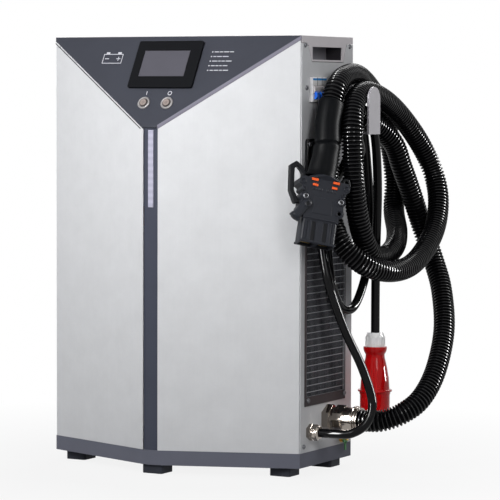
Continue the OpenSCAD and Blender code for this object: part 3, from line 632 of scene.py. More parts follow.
@dataclass(frozen=True)
class FilterFoam(Finish):
    """Open-cell filter foam with trapped dust and painted shade in its pores."""

    def lay(self, shader: Shader) -> None:
        """Fill the tree with open cells, painted shade in their hollows, and dust.

        Args:
            shader: The tree to fill.
        """
        place = shader.place()
        cells = shader.cells(place, 520.0)
        dust = shader.noise(place, 24.0, 4.0, 0.6)
        # The colour is darker in the hollows of the cells: painted shade inside the pores.
        shader.surface({
            "Base Color": self.tones(shader, cells * 0.9 - 0.45 + dust * 0.7, 0.5, 1.7),
            "Roughness": self.rough + dust * 0.1, "Specular IOR Level": self.shine,
            "Normal": shader.bump(cells, 0.6, CELL_DEPTH)})


@dataclass(frozen=True)
class CircuitBoard(Finish):
    """Green solder resist with traces and pads.

    Attributes:
        copper: Colour code of the traces and pads.
    """

    copper: str = "#9fae6a"

    def lay(self, shader: Shader) -> None:
        """Fill the tree with traces and pads.

        Args:
            shader: The tree to fill.
        """
        place = shader.place()
        trace = (shader.axis("X") * 1400.0).wave().above(0.82)
        route = shader.noise(place, 60.0, 2.0).above(0.04)
        pads = 1.0 - shader.cells(place, 240.0).above(0.24)
        mask = (trace * route).most(pads)
        shader.surface({
            "Base Color": shader.blend(mask * 0.7, tint(self.colour), tint(self.copper)),
            "Roughness": self.rough - mask * 0.15, "Coat Weight": 0.3,
            "Normal": shader.bump(mask, 0.2, LINE_DEPTH)})


SILVER = SheetFinish("silver_sheet", "#d4d5d7", rough=0.5, shine=0.03)
LID_SILVER = SheetFinish("lid_sheet", "#d9d4d7", rough=0.48, shine=0.1, mottle=0.4)
POCKET = SheetFinish("pocket_sheet", "#8f8d93", rough=0.5, metal=0.1, shine=0.2, mottle=0.3, grain=0.5)
# A darker copy of the pocket's sheet for its front and back walls: painted shade inside the pocket.
POCKET_WALL_SHADE = SheetFinish("pocket_wall", "#3b393d", rough=0.6, shine=0.1, mottle=0.3, grain=0.5)
# SLATE, PLINTH and PILLAR_SLATE stand for one slate paint: the slope's copy is darker, painted shade
# against the strong lamp light on it, and the plinth's lighter, painted light where little lamp light
# reaches.
SLATE = PowderCoat("slate_coat", "#3c3e46", rough=0.5, shine=0.08)
PLINTH = PowderCoat("plinth_coat", "#656772", rough=0.5, shine=0.1)
# A lighter copy of the slate for the fold over the right front panel: painted light where the lamps fall
# on it.
LIP_PAINTED_LIGHT = PowderCoat("lip_painted_light", "#757380", rough=0.5, shine=0.15)
PILLAR_SLATE = PowderCoat("pillar_coat", "#454854", rough=0.5, shine=0.08)
HOOK_COAT = PowderCoat("hook_coat", "#a8a5ab", rough=0.4, shine=0.2)
ZINC = BareMetal("zinc_plate", "#a9aaad", rough=0.34, metal=1.0)
SCREW = BareMetal("screw_plate", "#6b6c70", rough=0.5, metal=0.6, shine=0.2)
GRILLE = BareMetal("grille_wire", "#a0a1a6", rough=0.55, metal=0.1, shine=0.1)
VENT_FRAME = BareMetal("grille_frame", "#4a4547", rough=0.5, shine=0.05)
# The nickel's dull patches are dark and reddish: partly oxide, partly painted reflection of dark and red
# surroundings.
NICKEL = BareMetal("nickel_plate", "#948d86", rough=0.13, metal=1.0,
                   lines=(300.0, 900.0, 900.0), dull_tint="#3a2d28")
BRASS = BareMetal("brass", "#c7a552", rough=0.3, metal=1.0, dull_tint="#7a5a2a")
STEEL_PIN = BareMetal("pin_plate", "#cbc6bb", rough=0.25, metal=1.0)
COPPER = BareMetal("bus_copper", "#b8734c", rough=0.35, metal=1.0, dull_tint="#6b3a28")
ALLOY = BareMetal("module_alloy", "#adb1b6", rough=0.42, metal=0.9)
CHROME = BareMetal("chrome_ring", "#9d9a9a", rough=0.34, metal=0.8, shine=0.3,
                   lines=(500.0, 500.0, 500.0), dull_tint="#77706e")
FEET = SoftRubber("foot_rubber_skin", "#2f3138", rough=0.6, shine=0.12)
HOSE = RibbedRubber("hose_jacket", "#0a0a0c", rough=0.5, shine=0.02)
BOOT = SoftRubber("boot_sleeve", "#08090b", rough=0.42, shine=0.03, grit=0.06)
CABLE = SoftRubber("cable_jacket", "#0a0a0c", rough=0.09, shine=0.11, grit=0.02)
FOAM = FilterFoam("filter_mat", "#25262b", rough=0.9, shine=0.1)
LENS = FrostedLens("light_lens", "#a9a8ba", rough=0.45, shine=0.1)
BEZEL = Moulded("bezel_moulding", "#0f1013", rough=0.45, shine=0.05, texture=0.25)
SCREEN = ScreenGlass("screen_film", "#515058", rough=0.35, shine=0.06)
BREAKER = Moulded("breaker_case", "#f8f5f5", rough=0.42, shine=0.3)
# A grey copy of the white case for its front and back faces: painted shade on the flanks.
BREAKER_SIDE_SHADE = Moulded("breaker_flank_painted_shade", "#c9c9cb", rough=0.5, shine=0.2)
LEVER_BLUE = Moulded("lever_blue", "#1a63d6", rough=0.34, shine=0.3)
DRUM = Moulded("lever_drum", "#c3bec0", rough=0.42, shine=0.25)
PRINT_BLUE = Moulded("print_blue", "#3a93dc", rough=0.4, shine=0.2)
HOLSTER = Moulded("holster_black", "#101114", rough=0.4, shine=0.1)
CONNECTOR = Moulded("connector_grey", "#24262c", rough=0.42, shine=0.08, texture=0.35)
HANDLE = Moulded("connector_loop", "#131417", rough=0.4, shine=0.07, texture=0.35)
ORANGE = Moulded("key_orange", "#ef5a14", rough=0.4, shine=0.3)
WHITE_NUT = Moulded("nut_white", "#ffffff", rough=0.25, shine=0.4)
RED = Moulded("plug_red", "#bd0a0d", rough=0.09, shine=0.15, texture=0.02)
BLACK = Moulded("inner_black", "#1d1e22", rough=0.5, shine=0.2)
PRINT = Moulded("panel_print", "#c6c6cd", rough=0.5, shine=0.1, texture=0.1)
GREEN = Moulded("earth_green", "#3d8a46", rough=0.45, shine=0.3)
BOARD = CircuitBoard("control_board_resist", "#2c5a3c", rough=0.4)


@dataclass(frozen=True)
class Lamp:
    """A soft rectangular lamp.

    Attributes:
        name: Its name.
        place: Where it hangs.
        aim: The point it faces.
        size: Width and height, in metres.
        power: Watts.
        spread: Width of its beam, in degrees.
        sheen: Whether it only makes highlights, on the glossy pieces.
    """

    name: str
    place: Point
    aim: Point
    size: tuple[float, float]
    power: float
    spread: float = 180.0
    sheen: bool = False


@dataclass
class Studio:
    """Camera, world, floor and lamps.

    Attributes:
        eye: Camera place in metres.
        yaw: Turn about the upright.
        pitch: Tilt up.
        roll: Turn about the view.
        focal: Focal length, in pixels of the frame.
        frame: Width of the frame, in pixels.
        sensor: Width of the sensor, in millimetres.
        sight: How far the camera sees.
        sky: Colour code of the ambient light.
        fill: Strength of the ambient light.
        matt: Colour of the floor.
        floor_half: Half the floor's width.
        shade: Share of the floor's own shading that the camera sees.
        shade_near: Distance from the middle within which that share is full.
        shade_fade: Distance over which it then fades.
        lamps: The lamps.
        glossy: Pieces that the highlight lamps reach.
    """

    eye: Point = (2.4549349, -4.2094879, 0.6957854)
    yaw: float = 0.5052675
    pitch: float = -0.0599696
    roll: float = 0.0032967
    focal: float = 2609.88106
    frame: float = 500.0
    sensor: float = 36.0
    sight: float = 60.0
    sky: str = "#f4f6fb"
    fill: float = 0.13
    matt: Colour = (0.4, 0.4, 0.41, 1.0)
    floor_half: float = 14.0
    shade: float = 0.13
    shade_near: float = 0.3
    shade_fade: float = 0.75
    lamps: Sequence[Lamp] = (
        Lamp("key", (0.08, -1.7, 1.4), (0.02, -0.1, 0.7), (0.7, 0.7), 3.2, 54.0),
        Lamp("left_strip", (-0.9, -2.9, 1.7), (0.05, -0.1, 0.7), (0.3, 1.4), 4.9, 100.0),
        Lamp("right_strip", (2.6, -2.1, 1.7), (0.2, 0.0, 0.6), (0.9, 1.4), 10.5, 110.0),
        Lamp("left_fill", (-2.8, -0.3, 1.7), (0.0, 0.0, 0.5), (1.2, 1.2), 22.0),
        Lamp("side_fill", (2.4, 1.1, 2.2), (0.26, 0.05, 0.6), (1.0, 1.0), 12.0),
        Lamp("back_fill", (-0.6, 2.6, 2.2), (0.0, 0.1, 0.5), (1.6, 1.6), 55.0),
        Lamp("left_sheen", (-0.9, -2.9, 1.2), (0.33, 0.05, 0.5), (0.4, 1.9), 260.0, sheen=True),
        Lamp("right_sheen", (2.5, 1.7, 1.2), (0.33, 0.05, 0.5), (0.4, 1.9), 260.0, sheen=True))
    glossy: Sequence[str] = (
        "dc_hose_ribbed", "hose_boot_sleeve", "dc_connector_housing_dressed",
        "connector_handles_dressed", "ac_cable_round", "plug_nut_dressed", "plug_body_dressed",
        "dc_gland_body_dressed", "dc_gland_nut_dressed", "dc_gland_collar", "ac_gland_body_dressed",
        "ac_gland_nut_dressed", "cable_hook_dressed", "connector_holster_dressed",
        "connector_screws_dressed")

    def camera(self) -> None:
        """Set the camera at the photograph's view."""
        right = Vector((math.cos(self.yaw), math.sin(self.yaw), 0.0))
        ahead = Vector((-math.sin(self.yaw) * math.cos(self.pitch),
                        math.cos(self.yaw) * math.cos(self.pitch), math.sin(self.pitch)))
        up = right.cross(ahead)
        across = right * math.cos(self.roll) + up * math.sin(self.roll)
        rise = up * math.cos(self.roll) - right * math.sin(self.roll)
        lens = bpy.data.cameras.new("photo_camera")
        lens.sensor_width = self.sensor
        lens.lens = self.sensor * self.focal / self.frame
        lens.clip_end = self.sight
        seat = bpy.data.objects.new("photo_camera", lens)
        bpy.context.scene.collection.objects.link(seat)
        turn = Matrix((across, rise, -ahead)).transposed().to_4x4()
        seat.matrix_world = Matrix.Translation(Vector(self.eye)) @ turn
        bpy.context.scene.camera = seat

    def seen(self, shader: Shader) -> Wire:
        """Light-path share of camera, glossy and transmission rays.

        Args:
            shader: The tree to add to.

        Returns:
            One for those rays, else nought.
        """
        path = "ShaderNodeLightPath"
        straight = shader.node(path, output="Is Camera Ray")
        mirror = shader.node(path, output="Is Glossy Ray")
        return straight.most(mirror).most(shader.node(path, output="Is Transmission Ray"))

    def world(self) -> None:
        """Make a white surround with a plain ambient level."""
        world = bpy.data.worlds.new("studio_world")
        bpy.context.scene.world = world
        world.use_nodes = True
        shader = Shader(world.node_tree)
        light = "ShaderNodeBackground"
        dim = shader.node(light, None, {"Color": tint(self.sky), "Strength": self.fill})
        white = shader.node(light, None, {"Color": WHITE, "Strength": 1.0})
        mixed = shader.node("ShaderNodeMixShader", None, {0: self.seen(shader), 1: dim, 2: white})
        shader.node("ShaderNodeOutputWorld", None, {"Surface": mixed})

    def floor(self) -> None:
        """Lay a pale floor that keeps a soft shadow."""
        made = bpy.data.materials.new("studio_floor")
        made.use_nodes = True
        shader = Shader(made.node_tree)
        matt = shader.node("ShaderNodeBsdfDiffuse", None, {"Color": self.matt})
        glow = shader.node("ShaderNodeEmission", None, {"Color": WHITE, "Strength": 1.0})
        out = (shader.axis("X") ** 2.0 + shader.axis("Y") ** 2.0) ** 0.5
        near = 1.0 - ((out - self.shade_near) / self.shade_fade).held()
        mixed = shader.node("ShaderNodeMixShader", None, {
            0: self.seen(shader) * (1.0 - near * self.shade), 1: matt, 2: glow})
        shader.node("ShaderNodeOutputMaterial", None, {"Surface": mixed})
        mesh = bmesh.new()
        bmesh.ops.create_grid(mesh, x_segments=1, y_segments=1, size=self.floor_half)
        data = bpy.data.meshes.new("floor")
        mesh.to_mesh(data)
        mesh.free()
        data.materials.append(made)
        plane = bpy.data.objects.new("floor", data)
        bpy.context.scene.collection.objects.link(plane)

    def hang(self, lamp: Lamp) -> None:
        """Hang a lamp.

        Args:
            lamp: The lamp.
        """
        light = bpy.data.lights.new(lamp.name, "AREA")
        light.shape = "RECTANGLE"
        light.size, light.size_y = lamp.size
        light.energy = lamp.power
        light.spread = math.radians(lamp.spread)
        seat = bpy.data.objects.new(lamp.name, light)
        bpy.context.scene.collection.objects.link(seat)
        fall = Vector(lamp.aim) - Vector(lamp.place)
        seat.location = lamp.place
        seat.rotation_euler = fall.to_track_quat("-Z", "Y").to_euler()
        seat.visible_diffuse = not lamp.sheen
        if lamp.sheen:
            seat.light_linking.receiver_collection = self.receivers()

    def receivers(self) -> bpy.types.Collection:
        """Gather the glossy pieces at first use.

        Returns:
            The collection that the highlight lamps reach.
        """
        found = bpy.data.collections.get("glossy_pieces")
        if found is None:
            found = bpy.data.collections.new("glossy_pieces")
            for name in self.glossy:
                found.objects.link(bpy.data.objects[name])
        return found

    def build(self) -> None:
        """Set the surround and the lamps."""
        bpy.context.scene.view_settings.view_transform = "Standard"
        self.world()
        self.floor()
        for lamp in self.lamps:
            self.hang(lamp)


class Workshop:
    """Makes objects from meshes and fits them to the frame."""

    def __init__(self, frame: dict) -> None:
        """Keep the loaded frame and start an empty list of pieces."""
        self.frame = frame
        self.made: list[str] = []

    def add(self, name: str, mesh: bmesh.types.BMesh, finish: Finish, slot: str,
            body: Body = Body.CABINET, replaces: Iterable[str] = (), crease: float = 36.0,
            outward: bool = True) -> bpy.types.Object:
        """Make a piece from a mesh.

        Args:
            name: The piece's name.
            mesh: Its mesh, used up here.
            finish: Its finish.
            slot: The record's material slot.
            body: The body it rides on.
            replaces: CAD nodes that it stands for.
            crease: Angle in degrees over which an edge stays sharp.
            outward: Whether faces are turned outwards first.

        Returns:
            The new object.
        """
        if outward:
            bmesh.ops.recalc_face_normals(mesh, faces=mesh.faces[:])
        put_in_order(mesh)
        data = bpy.data.meshes.new(name)
        mesh.to_mesh(data)
        mesh.free()
        data.materials.append(finish.material())
        data.shade_smooth()
        data.set_sharp_from_angle(angle=math.radians(crease))
        piece = bpy.data.objects.new(name, data)
        bpy.context.scene.collection.objects.link(piece)
        steady = piece.modifiers.new("even_light", "WEIGHTED_NORMAL")
        steady.keep_sharp = True
        return self.seat(piece, slot, body, replaces)

    def seat(self, piece: bpy.types.Object, slot: str, body: Body = Body.CABINET,
             replaces: Iterable[str] = ()) -> bpy.types.Object:
        """Let a piece ride on a body.

        Args:
            piece: The object.
            slot: The record's material slot, not used here.
            body: The body it rides on.
            replaces: CAD nodes that it stands for.

        Returns:
            The same object.
        """
        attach(piece, body.value)
        nodes = list(replaces)
        if nodes:
            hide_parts(*nodes)
        self.made.append(piece.name)
        LOG.info("piece %s on %s", piece.name, body.value)
        return piece

    def copy_of(self, node: str) -> bmesh.types.BMesh:
        """Merged copy of a CAD node's mesh with its flat faces joined.

        Args:
            node: The node's name.

        Returns:
            A new mesh.
        """
        mesh = bmesh.new()
        mesh.from_mesh(self.frame["nodes"][node].data)
        bmesh.ops.remove_doubles(mesh, verts=mesh.verts[:], dist=WELD)
        bmesh.ops.dissolve_limit(mesh, angle_limit=math.radians(FLAT), verts=mesh.verts[:],
                                 edges=mesh.edges[:])
        return mesh

    def refine(self, node: str, finish: Finish, slot: str, edge: Edge = Edge.SHEET,
               body: Body = Body.CABINET, least: float = 40.0, segments: int = 2,
               more: MeshWork | None = None,
               second: tuple[Finish, FaceTest] | None = None) -> bpy.types.Object:
        """Stand in for a CAD node with its edges rounded.

        Args:
            node: The node's name.
            finish: The new finish.
            slot: The record's material slot.
            edge: How far edges are rounded.
            body: The body it rides on.
            least: Smallest angle, in degrees, of an edge that is rounded.
            segments: Steps of the rounding.
            more: A call that adds detail to the mesh.
            second: Another finish and the test of the faces that take it.

        Returns:
            The new object.
        """
        mesh = self.copy_of(node)
        round_edges(mesh, edge.value, least, segments)
        if second:
            for face in mesh.faces:
                face.material_index = int(second[1](face))
        if more:
            more(mesh)
        piece = self.add(f"{node}_dressed", mesh, finish, slot, body, [node], outward=False)
        if second:
            piece.data.materials.append(second[0].material())
        return piece

    def paint(self, node: str, finish: Finish) -> None:
        """Give a CAD node that stays a better material.

        Args:
            node: The node's name.
            finish: The new finish.
        """
        data = self.frame["nodes"][node].data
        data.materials.clear()
        data.materials.append(finish.material())
        LOG.info("node %s painted", node)


def is_flank(face: bmesh.types.BMFace) -> bool:
    """Whether a face looks along Y, to the front or the back."""
    return abs(face.normal.y) > FACING


def in_metres(outline: Outline) -> Outline:
    """An outline in millimetres, turned to metres."""
    return [(first * MM, second * MM) for first, second in outline]


def spot_of(vert: bmesh.types.BMVert) -> Point:
    """Coordinates of a point, to sort by."""
    return vert.co[:]


def corners_of(face: bmesh.types.BMFace) -> list[int]:
    """Numbers of a face's points, to sort by."""
    return sorted(vert.index for vert in face.verts)


def put_in_order(mesh: bmesh.types.BMesh) -> None:
    """Order points and faces by place, because operators leave them in another order each run.

    Args:
        mesh: The mesh.
    """
    for i, vert in enumerate(sorted(mesh.verts, key=spot_of)):
        vert.index = i
    mesh.verts.sort()
    for i, face in enumerate(sorted(mesh.faces, key=corners_of)):
        face.index = i
    mesh.faces.sort()


def round_edges(mesh: bmesh.types.BMesh, width: float, least: float, segments: int) -> None:
    """Round the sharp edges of a mesh.

    Args:
        mesh: The mesh.
        width: Width of the rounding.
        least: Smallest angle in degrees.
        segments: Steps.
    """
    limit = math.radians(least)
    sharp = [e for e in mesh.edges if e.is_manifold and e.calc_face_angle(0.0) > limit]
    bmesh.ops.bevel(mesh, geom=sharp, offset=width, offset_type="OFFSET", segments=segments,
                    profile=0.5, affect="EDGES", clamp_overlap=True, material=-1)


def block(mesh: bmesh.types.BMesh, size: Point, place: Matrix, edge: float,
          segments: int = 2) -> None:
    """Add a rounded block.

    Args:
        mesh: The mesh to add to.
        size: Edge lengths.
        place: Place of its centre.
        edge: Rounding of its edges.
        segments: Steps of the rounding.
    """
    fit = place @ Matrix.Diagonal((*size, 1.0))
    corners = bmesh.ops.create_cube(mesh, size=1.0, matrix=fit)["verts"]
    edges = list(dict.fromkeys(e for v in corners for e in v.link_edges))
    bmesh.ops.bevel(mesh, geom=edges, offset=edge, offset_type="OFFSET", segments=segments,
                    profile=0.5, affect="EDGES", clamp_overlap=True, material=-1)


def rod(mesh: bmesh.types.BMesh, start: Vector, end: Vector, radius: float, sides: int) -> None:
    """Add a round rod.

    Args:
        mesh: The mesh to add to.
        start: One end.
        end: The other end.
        radius: Its radius.
        sides: Facets.
    """
    run = end - start
    turn = run.to_track_quat("Z", "Y").to_matrix().to_4x4()
    bmesh.ops.create_cone(mesh, cap_ends=True, segments=sides, radius1=radius, radius2=radius,
                          depth=run.length, matrix=Matrix.Translation((start + end) / 2) @ turn)


def turned(outline: Outline, steps: int, place: Matrix | None = None) -> bmesh.types.BMesh:
    """Spin an outline about Z.

    Args:
        outline: Radius and height of each point.
        steps: Facets round.
        place: Where it goes.

    Returns:
        A new closed mesh.
    """
    mesh = bmesh.new()
    points = [mesh.verts.new((r, 0.0, z)) for r, z in outline]
    edges = [mesh.edges.new(pair) for pair in zip(points, points[1:])]
    bmesh.ops.spin(mesh, geom=[*points, *edges], cent=(0, 0, 0), axis=(0, 0, 1), dvec=(0, 0, 0),
                   angle=math.tau, steps=steps, use_merge=True, use_duplicate=False)
    bmesh.ops.remove_doubles(mesh, verts=mesh.verts[:], dist=SEAM)
    bmesh.ops.recalc_face_normals(mesh, faces=mesh.faces[:])
    if place is not None:
        bmesh.ops.transform(mesh, matrix=place, verts=mesh.verts[:])
    return mesh


def take_in(mesh: bmesh.types.BMesh, other: bmesh.types.BMesh) -> None:
    """Join one mesh to another.

    Args:
        mesh: The mesh that grows.
        other: The mesh that is used up.
    """
    data = bpy.data.meshes.new("joined")
    other.to_mesh(data)
    other.free()
    mesh.from_mesh(data)
    bpy.data.meshes.remove(data)


@dataclass(frozen=True)
class Pad:
    """A rounded block on a moulding, in millimetres of the moulding's frame.

    Attributes:
        size: Edge lengths.
        place: Its centre.
        edge: Rounding of its edges.
        segments: Steps of the rounding.
    """

    size: Point
    place: Point
    edge: float
    segments: int = 2

    def at(self, x: float, side: int) -> Pad:
        """The same pad at another place across, on the front (-1) or back (1) face."""
        return replace(self, place=(x, side * self.place[1], self.place[2]))

    def lay_on(self, mesh: bmesh.types.BMesh, frame: Matrix) -> None:
        """Add the block to a mesh.

        Args:
            mesh: The mesh to add to.
            frame: The moulding's frame.
        """
        x, y, z = self.place
        spot = frame @ Matrix.Translation((x * MM, y * MM, z * MM))
        size = (self.size[0] * MM, self.size[1] * MM, self.size[2] * MM)
        block(mesh, size, spot, self.edge * MM, self.segments)


class Route:
    """A smooth line through a cord's route points, with a steady frame along it."""

    def __init__(self, points: Sequence[Point], first: int = 0, last: int | None = None,
                 per_span: int = 10) -> None:
        """Smooth the points.

        Args:
            points: Route points in millimetres.
            first: Index where the kept part starts.
            last: Index where it ends.
            per_span: Samples between two points.
        """
        raw = [Vector(p) * MM for p in points]
        ends = [raw[0] * 2 - raw[1], *raw, raw[-1] * 2 - raw[-2]]
        last = len(raw) - 1 if last is None else last
        self.line: list[Vector] = []
        for i in range(first, last):
            a, b, c, d = ends[i:i + 4]
            for k in range(per_span):
                t = k / per_span
                self.line.append(0.5 * (2 * b + (c - a) * t + (2 * a - 5 * b + 4 * c - d) * t * t
                                        + (3 * b - a - 3 * c + d) * t ** 3))
        self.line.append(raw[last])
        self.far = [0.0]
        for one, two in zip(self.line, self.line[1:]):
            self.far.append(self.far[-1] + (two - one).length)
        self.length = self.far[-1]
        end = len(self.line) - 1
        self.ways = [(self.line[min(i + 1, end)] - self.line[max(i - 1, 0)]).normalized()
                     for i in range(end + 1)]
        side = Vector((0.0, 0.0, 1.0)).cross(self.ways[0])
        self.sides: list[Vector] = []
        for way in self.ways:
            side = (side - way * side.dot(way)).normalized()
            self.sides.append(side)

    def at(self, reach: float) -> Matrix:
        """Frame at a distance along the line.

        Args:
            reach: Distance from the start.

        Returns:
            A matrix with X along the line.
        """
        low, high = 0, len(self.far) - 1
        while high - low > 1:
            mid = (low + high) // 2
            low, high = (mid, high) if self.far[mid] <= reach else (low, mid)
        share = (reach - self.far[low]) / max(self.far[high] - self.far[low], 1e-9)
        way = self.ways[low].lerp(self.ways[high], share).normalized()
        side = self.sides[low].lerp(self.sides[high], share)
        side = (side - way * side.dot(way)).normalized()
        spot = self.line[low].lerp(self.line[high], share)
        turn = Matrix((way, side, way.cross(side))).transposed().to_4x4()
        return Matrix.Translation(spot) @ turn

    def swept(self, outline: Outline, steps: int) -> bmesh.types.BMesh:
        """Spin an outline straight and bend it along the line.

        Args:
            outline: Distance along and radius of each point.
            steps: Facets round.

        Returns:
            A closed tube along the line.
        """
        mesh = turned([(r, s) for s, r in outline], steps)
        girth = mesh.verts.layers.float.new(GIRTH)
        widest = max(r for _, r in outline)
        frames: dict[float, Matrix] = {}
        for vert in mesh.verts:
            vert[girth] = math.hypot(vert.co.x, vert.co.y) / widest
            reach = round(vert.co.z, 7)
            if reach not in frames:
                frames[reach] = self.at(min(max(reach, 0.0), self.length))
            vert.co = frames[reach] @ Vector((0.0, vert.co.x, vert.co.y))
        bmesh.ops.recalc_face_normals(mesh, faces=mesh.faces[:])
        return mesh


@dataclass
class DcLead:
    """The corrugated DC hose with its boot and battery connector.

    Sizes of the hose and boot are in metres, those of the connector in millimetres of its own frame.

    Attributes:
        points: Route points, in millimetres.
        boot_from: Index where the boot starts.
        radius: Crest radius of the hose.
        valley: Radius between crests.
        pitch: Distance from crest to crest.
        rib: Shares of the pitch and of the rib's height, for one rib.
        hose_facets: Facets round the hose.
        boot_radius: Radius of the boot's upper sleeve.
        boot_low: Radius of its lower sleeve.
        boot_facets: Facets round the boot.
        boot_step: Longest step along the boot.
        notch: Share of the boot's length at which it is notched.
        flare: Widening of the boot's skirt towards the keyed side.
        flare_high: Share of the skirt's length that widens.
        turn: Turn of the connector about its axis, in degrees.
        screw: Place across and up of the screws' sockets.
        socket: Radius of a screw's driver socket.
        rims: Place across and up, and radius, of each raised rim.
        rim_face: Place of the front face that carries the rims.
        plate: The plain plate on the front face.
        nib: A short rib under the boot.
        nib_places: Places of the short ribs across.
        seam_rib: The long rib over the keys.
        mouth_rim: The rim at the mating end.
        wide_rail: The rail between the keys.
        slim_rail: A rail beside the keys.
        slim_places: Places of the slim rails across.
        slot_shade: The dark slot behind a key.
        slot_places: Places of the slots across.
        bar_place: Place of the locking bar.
        bar_tilt: Tilt of the locking bar, in degrees.
        bar_grip: The bar's rounded block.
        bar_foot: The bar's cross piece.
        eye_place: Place of the eye, across and up the bar.
        eye_face: Place of the bar's face that carries the eye's rim.
        eye_sunk: Place of the painted shade at the eye's bottom.
        eye_rim: Outline of the eye's rim.
        eye_painted_shade: Outline of the dark disc at the eye's bottom, painted shade in the hole.
        ring_facets: Facets round a rim or the eye.
        pieces: The pieces on the lead.
    """

    points: Sequence[Point] = (
        (320.5, 50, 98), (345, 50, 98), (375, 55, 100), (405, 72, 113), (427, 105, 138),
        (433, 155, 185), (422, 215, 255), (395, 262, 325), (368, 285, 378), (345, 290, 430),
        (334, 268, 490), (325, 232, 558), (318, 205, 605), (300, 155, 642), (292, 105, 660),
        (290, 65, 662), (290, 28, 648), (290, 6, 612), (290, -3, 565), (296, -12, 515),
        (308, -22, 465), (330, -27, 425), (360, -4, 390), (382, 50, 374), (392, 120, 378),
        (391, 190, 404), (384, 255, 447), (372, 293, 500), (354, 304, 552), (338, 278, 605),
        (327, 215, 657), (325, 145, 687), (325, 75, 699), (330, 22, 681), (341, -10, 635),
        (345, -14, 572), (345, -6, 515), (345, 18, 452), (346, 55, 408), (346, 110, 396),
        (342, 165, 411), (320, 222, 436), (292, 266, 474), (286, 281, 530), (285, 266, 595),
        (285, 222, 668), (287, 160, 712), (293.5, 95, 731), (299.5, 38, 725.5), (305, -2, 707),
        (305.5, -22, 680.5), (306, -36.5, 642), (311, -49.5, 597), (312, -66, 545))
    boot_from: int = 50
    radius: float = 0.020
    valley: float = 0.0156
    pitch: float = 0.0066
    rib: Outline = (
        (0.0, 0.0), (0.14, 0.12), (0.3, 0.8), (0.4, 1.0), (0.6, 1.0), (0.7, 0.8), (0.86, 0.12))
    hose_facets: int = 30
    boot_radius: float = 0.0235
    boot_low: float = 0.0225
    boot_facets: int = 40
    boot_step: float = 0.006
    notch: float = 0.56
    flare: float = 0.4
    flare_high: float = 0.97
    turn: float = 44.0
    screw: tuple[float, float] = (33.0, -43.0)
    socket: float = 1.9
    rims: Sequence[Point] = (
        (33.0, -43.0, 7.6), (33.0, -64.0, 6.6), (40.5, -17.0, 5.2), (36.5, -30.0, 4.0))
    rim_face: float = -19.0
    plate: Pad = Pad((36.0, 1.4, 30.0), (0.0, -18.9, -56.0), 0.6)
    nib: Pad = Pad((5.2, 2.0, 6.0), (0.0, 18.8, -26.0), 0.8)
    nib_places: Sequence[float] = (-20.0, -13.0, -6.0, 6.0, 13.0, 20.0)
    seam_rib: Pad = Pad((58.0, 1.6, 2.2), (0.0, 19.0, -80.5), 0.6)
    mouth_rim: Pad = Pad((66.0, 2.2, 4.2), (0.0, 18.0, -122.8), 0.9, 3)
    wide_rail: Pad = Pad((12.0, 1.2, 38.0), (0.0, 18.1, -103.0), 0.5)
    slim_rail: Pad = Pad((5.6, 1.2, 38.0), (0.0, 18.1, -103.0), 0.5)
    slim_places: Sequence[float] = (-18.3, 18.3)
    # A dark block sunk in each key slot: painted shade in the slot.
    slot_shade: Pad = Pad((6.6, 0.6, 38.5), (0.0, 16.25, -103.5), 0.2, 1)
    slot_places: Sequence[float] = (-11.0, 11.0)
    bar_place: Point = (-36.0, -12.0, -67.0)
    bar_tilt: float = 34.0
    bar_grip: Pad = Pad((16.5, 22.0, 44.0), (0.0, 0.0, 0.0), 6.0, 4)
    bar_foot: Pad = Pad((20.5, 12.0, 6.0), (0.0, -2.0, -19.0), 2.0, 3)
    eye_place: tuple[float, float] = (1.0, 12.0)
    eye_face: float = -11.0
    eye_sunk: float = -11.2
    eye_rim: Outline = (
        (3.4, -1.0), (3.4, 1.2), (4.2, 1.8), (5.2, 1.8), (6.0, 1.0), (6.0, -1.0), (3.4, -1.0))
    eye_painted_shade: Outline = ((0.0, -1.0), (3.6, -1.0), (3.6, 0.5), (0.0, 0.5))
    ring_facets: int = 28
    pieces: list[bpy.types.Object] = field(default_factory=list)

    def seat(self) -> Matrix:
        """Find the connector's own frame, its Z up the lead.

        Returns:
            The frame's matrix.
        """
        end, before = Vector(self.points[-1]) * MM, Vector(self.points[-2]) * MM
        fall = before - end
        tilt = -math.atan2(fall.y, fall.z)
        lean = math.asin(fall.x / fall.length)
        return (Matrix.Translation(end) @ Matrix.Rotation(tilt, 4, "X") @ Matrix.Rotation(lean, 4, "Y")
                @ Matrix.Rotation(math.radians(self.turn), 4, "Z"))

    def bar(self) -> Matrix:
        """Frame of the locking bar at the connector's left."""
        tilt = Matrix.Rotation(math.radians(self.bar_tilt), 4, "Y")
        return self.seat() @ Matrix.Translation(Vector(self.bar_place) * MM) @ tilt

    def ring(self, outline: Outline, frame: Matrix, place: Point) -> bmesh.types.BMesh:
        """Spin a ring that stands on a front face.

        Args:
            outline: Radius and height of each point, in millimetres.
            frame: The frame that the ring's place is in.
            place: Its centre, in millimetres.

        Returns:
            A new closed mesh.
        """
        facing = frame @ Matrix.Translation(Vector(place) * MM) @ Matrix.Rotation(QUARTER, 4, "X")
        return turned(in_metres(outline), self.ring_facets, facing)

    def in_socket(self, face: bmesh.types.BMFace) -> bool:
        """Tell whether a face of a screw head lies in its driver socket.

        Args:
            face: The face.

        Returns:
            True in the socket.
        """
        spot = self.seat().inverted() @ face.calc_center_median() / MM
        return math.hypot(abs(spot.x) - self.screw[0], spot.z - self.screw[1]) < self.socket

    def hose(self, shop: Workshop) -> tuple[bpy.types.Object, Route]:
        """Spin the ribs and bend them along the route.

        Args:
            shop: The workshop.

        Returns:
            The hose and its line.
        """
        route = Route(self.points, 0, self.boot_from)
        ribs = int(route.length / self.pitch)
        step = route.length / ribs
        deep = self.radius - self.valley
        outline = [(0.0, 0.0)]
        outline += [((i + s) * step, self.valley + deep * h) for i in range(ribs) for s, h in self.rib]
        outline += [(route.length, self.valley), (route.length, 0.0)]
        mesh = route.swept(outline, self.hose_facets)
        piece = shop.add("dc_hose_ribbed", mesh, HOSE, "hose_black", replaces=["dc_hose"], crease=24.0)
        return piece, route

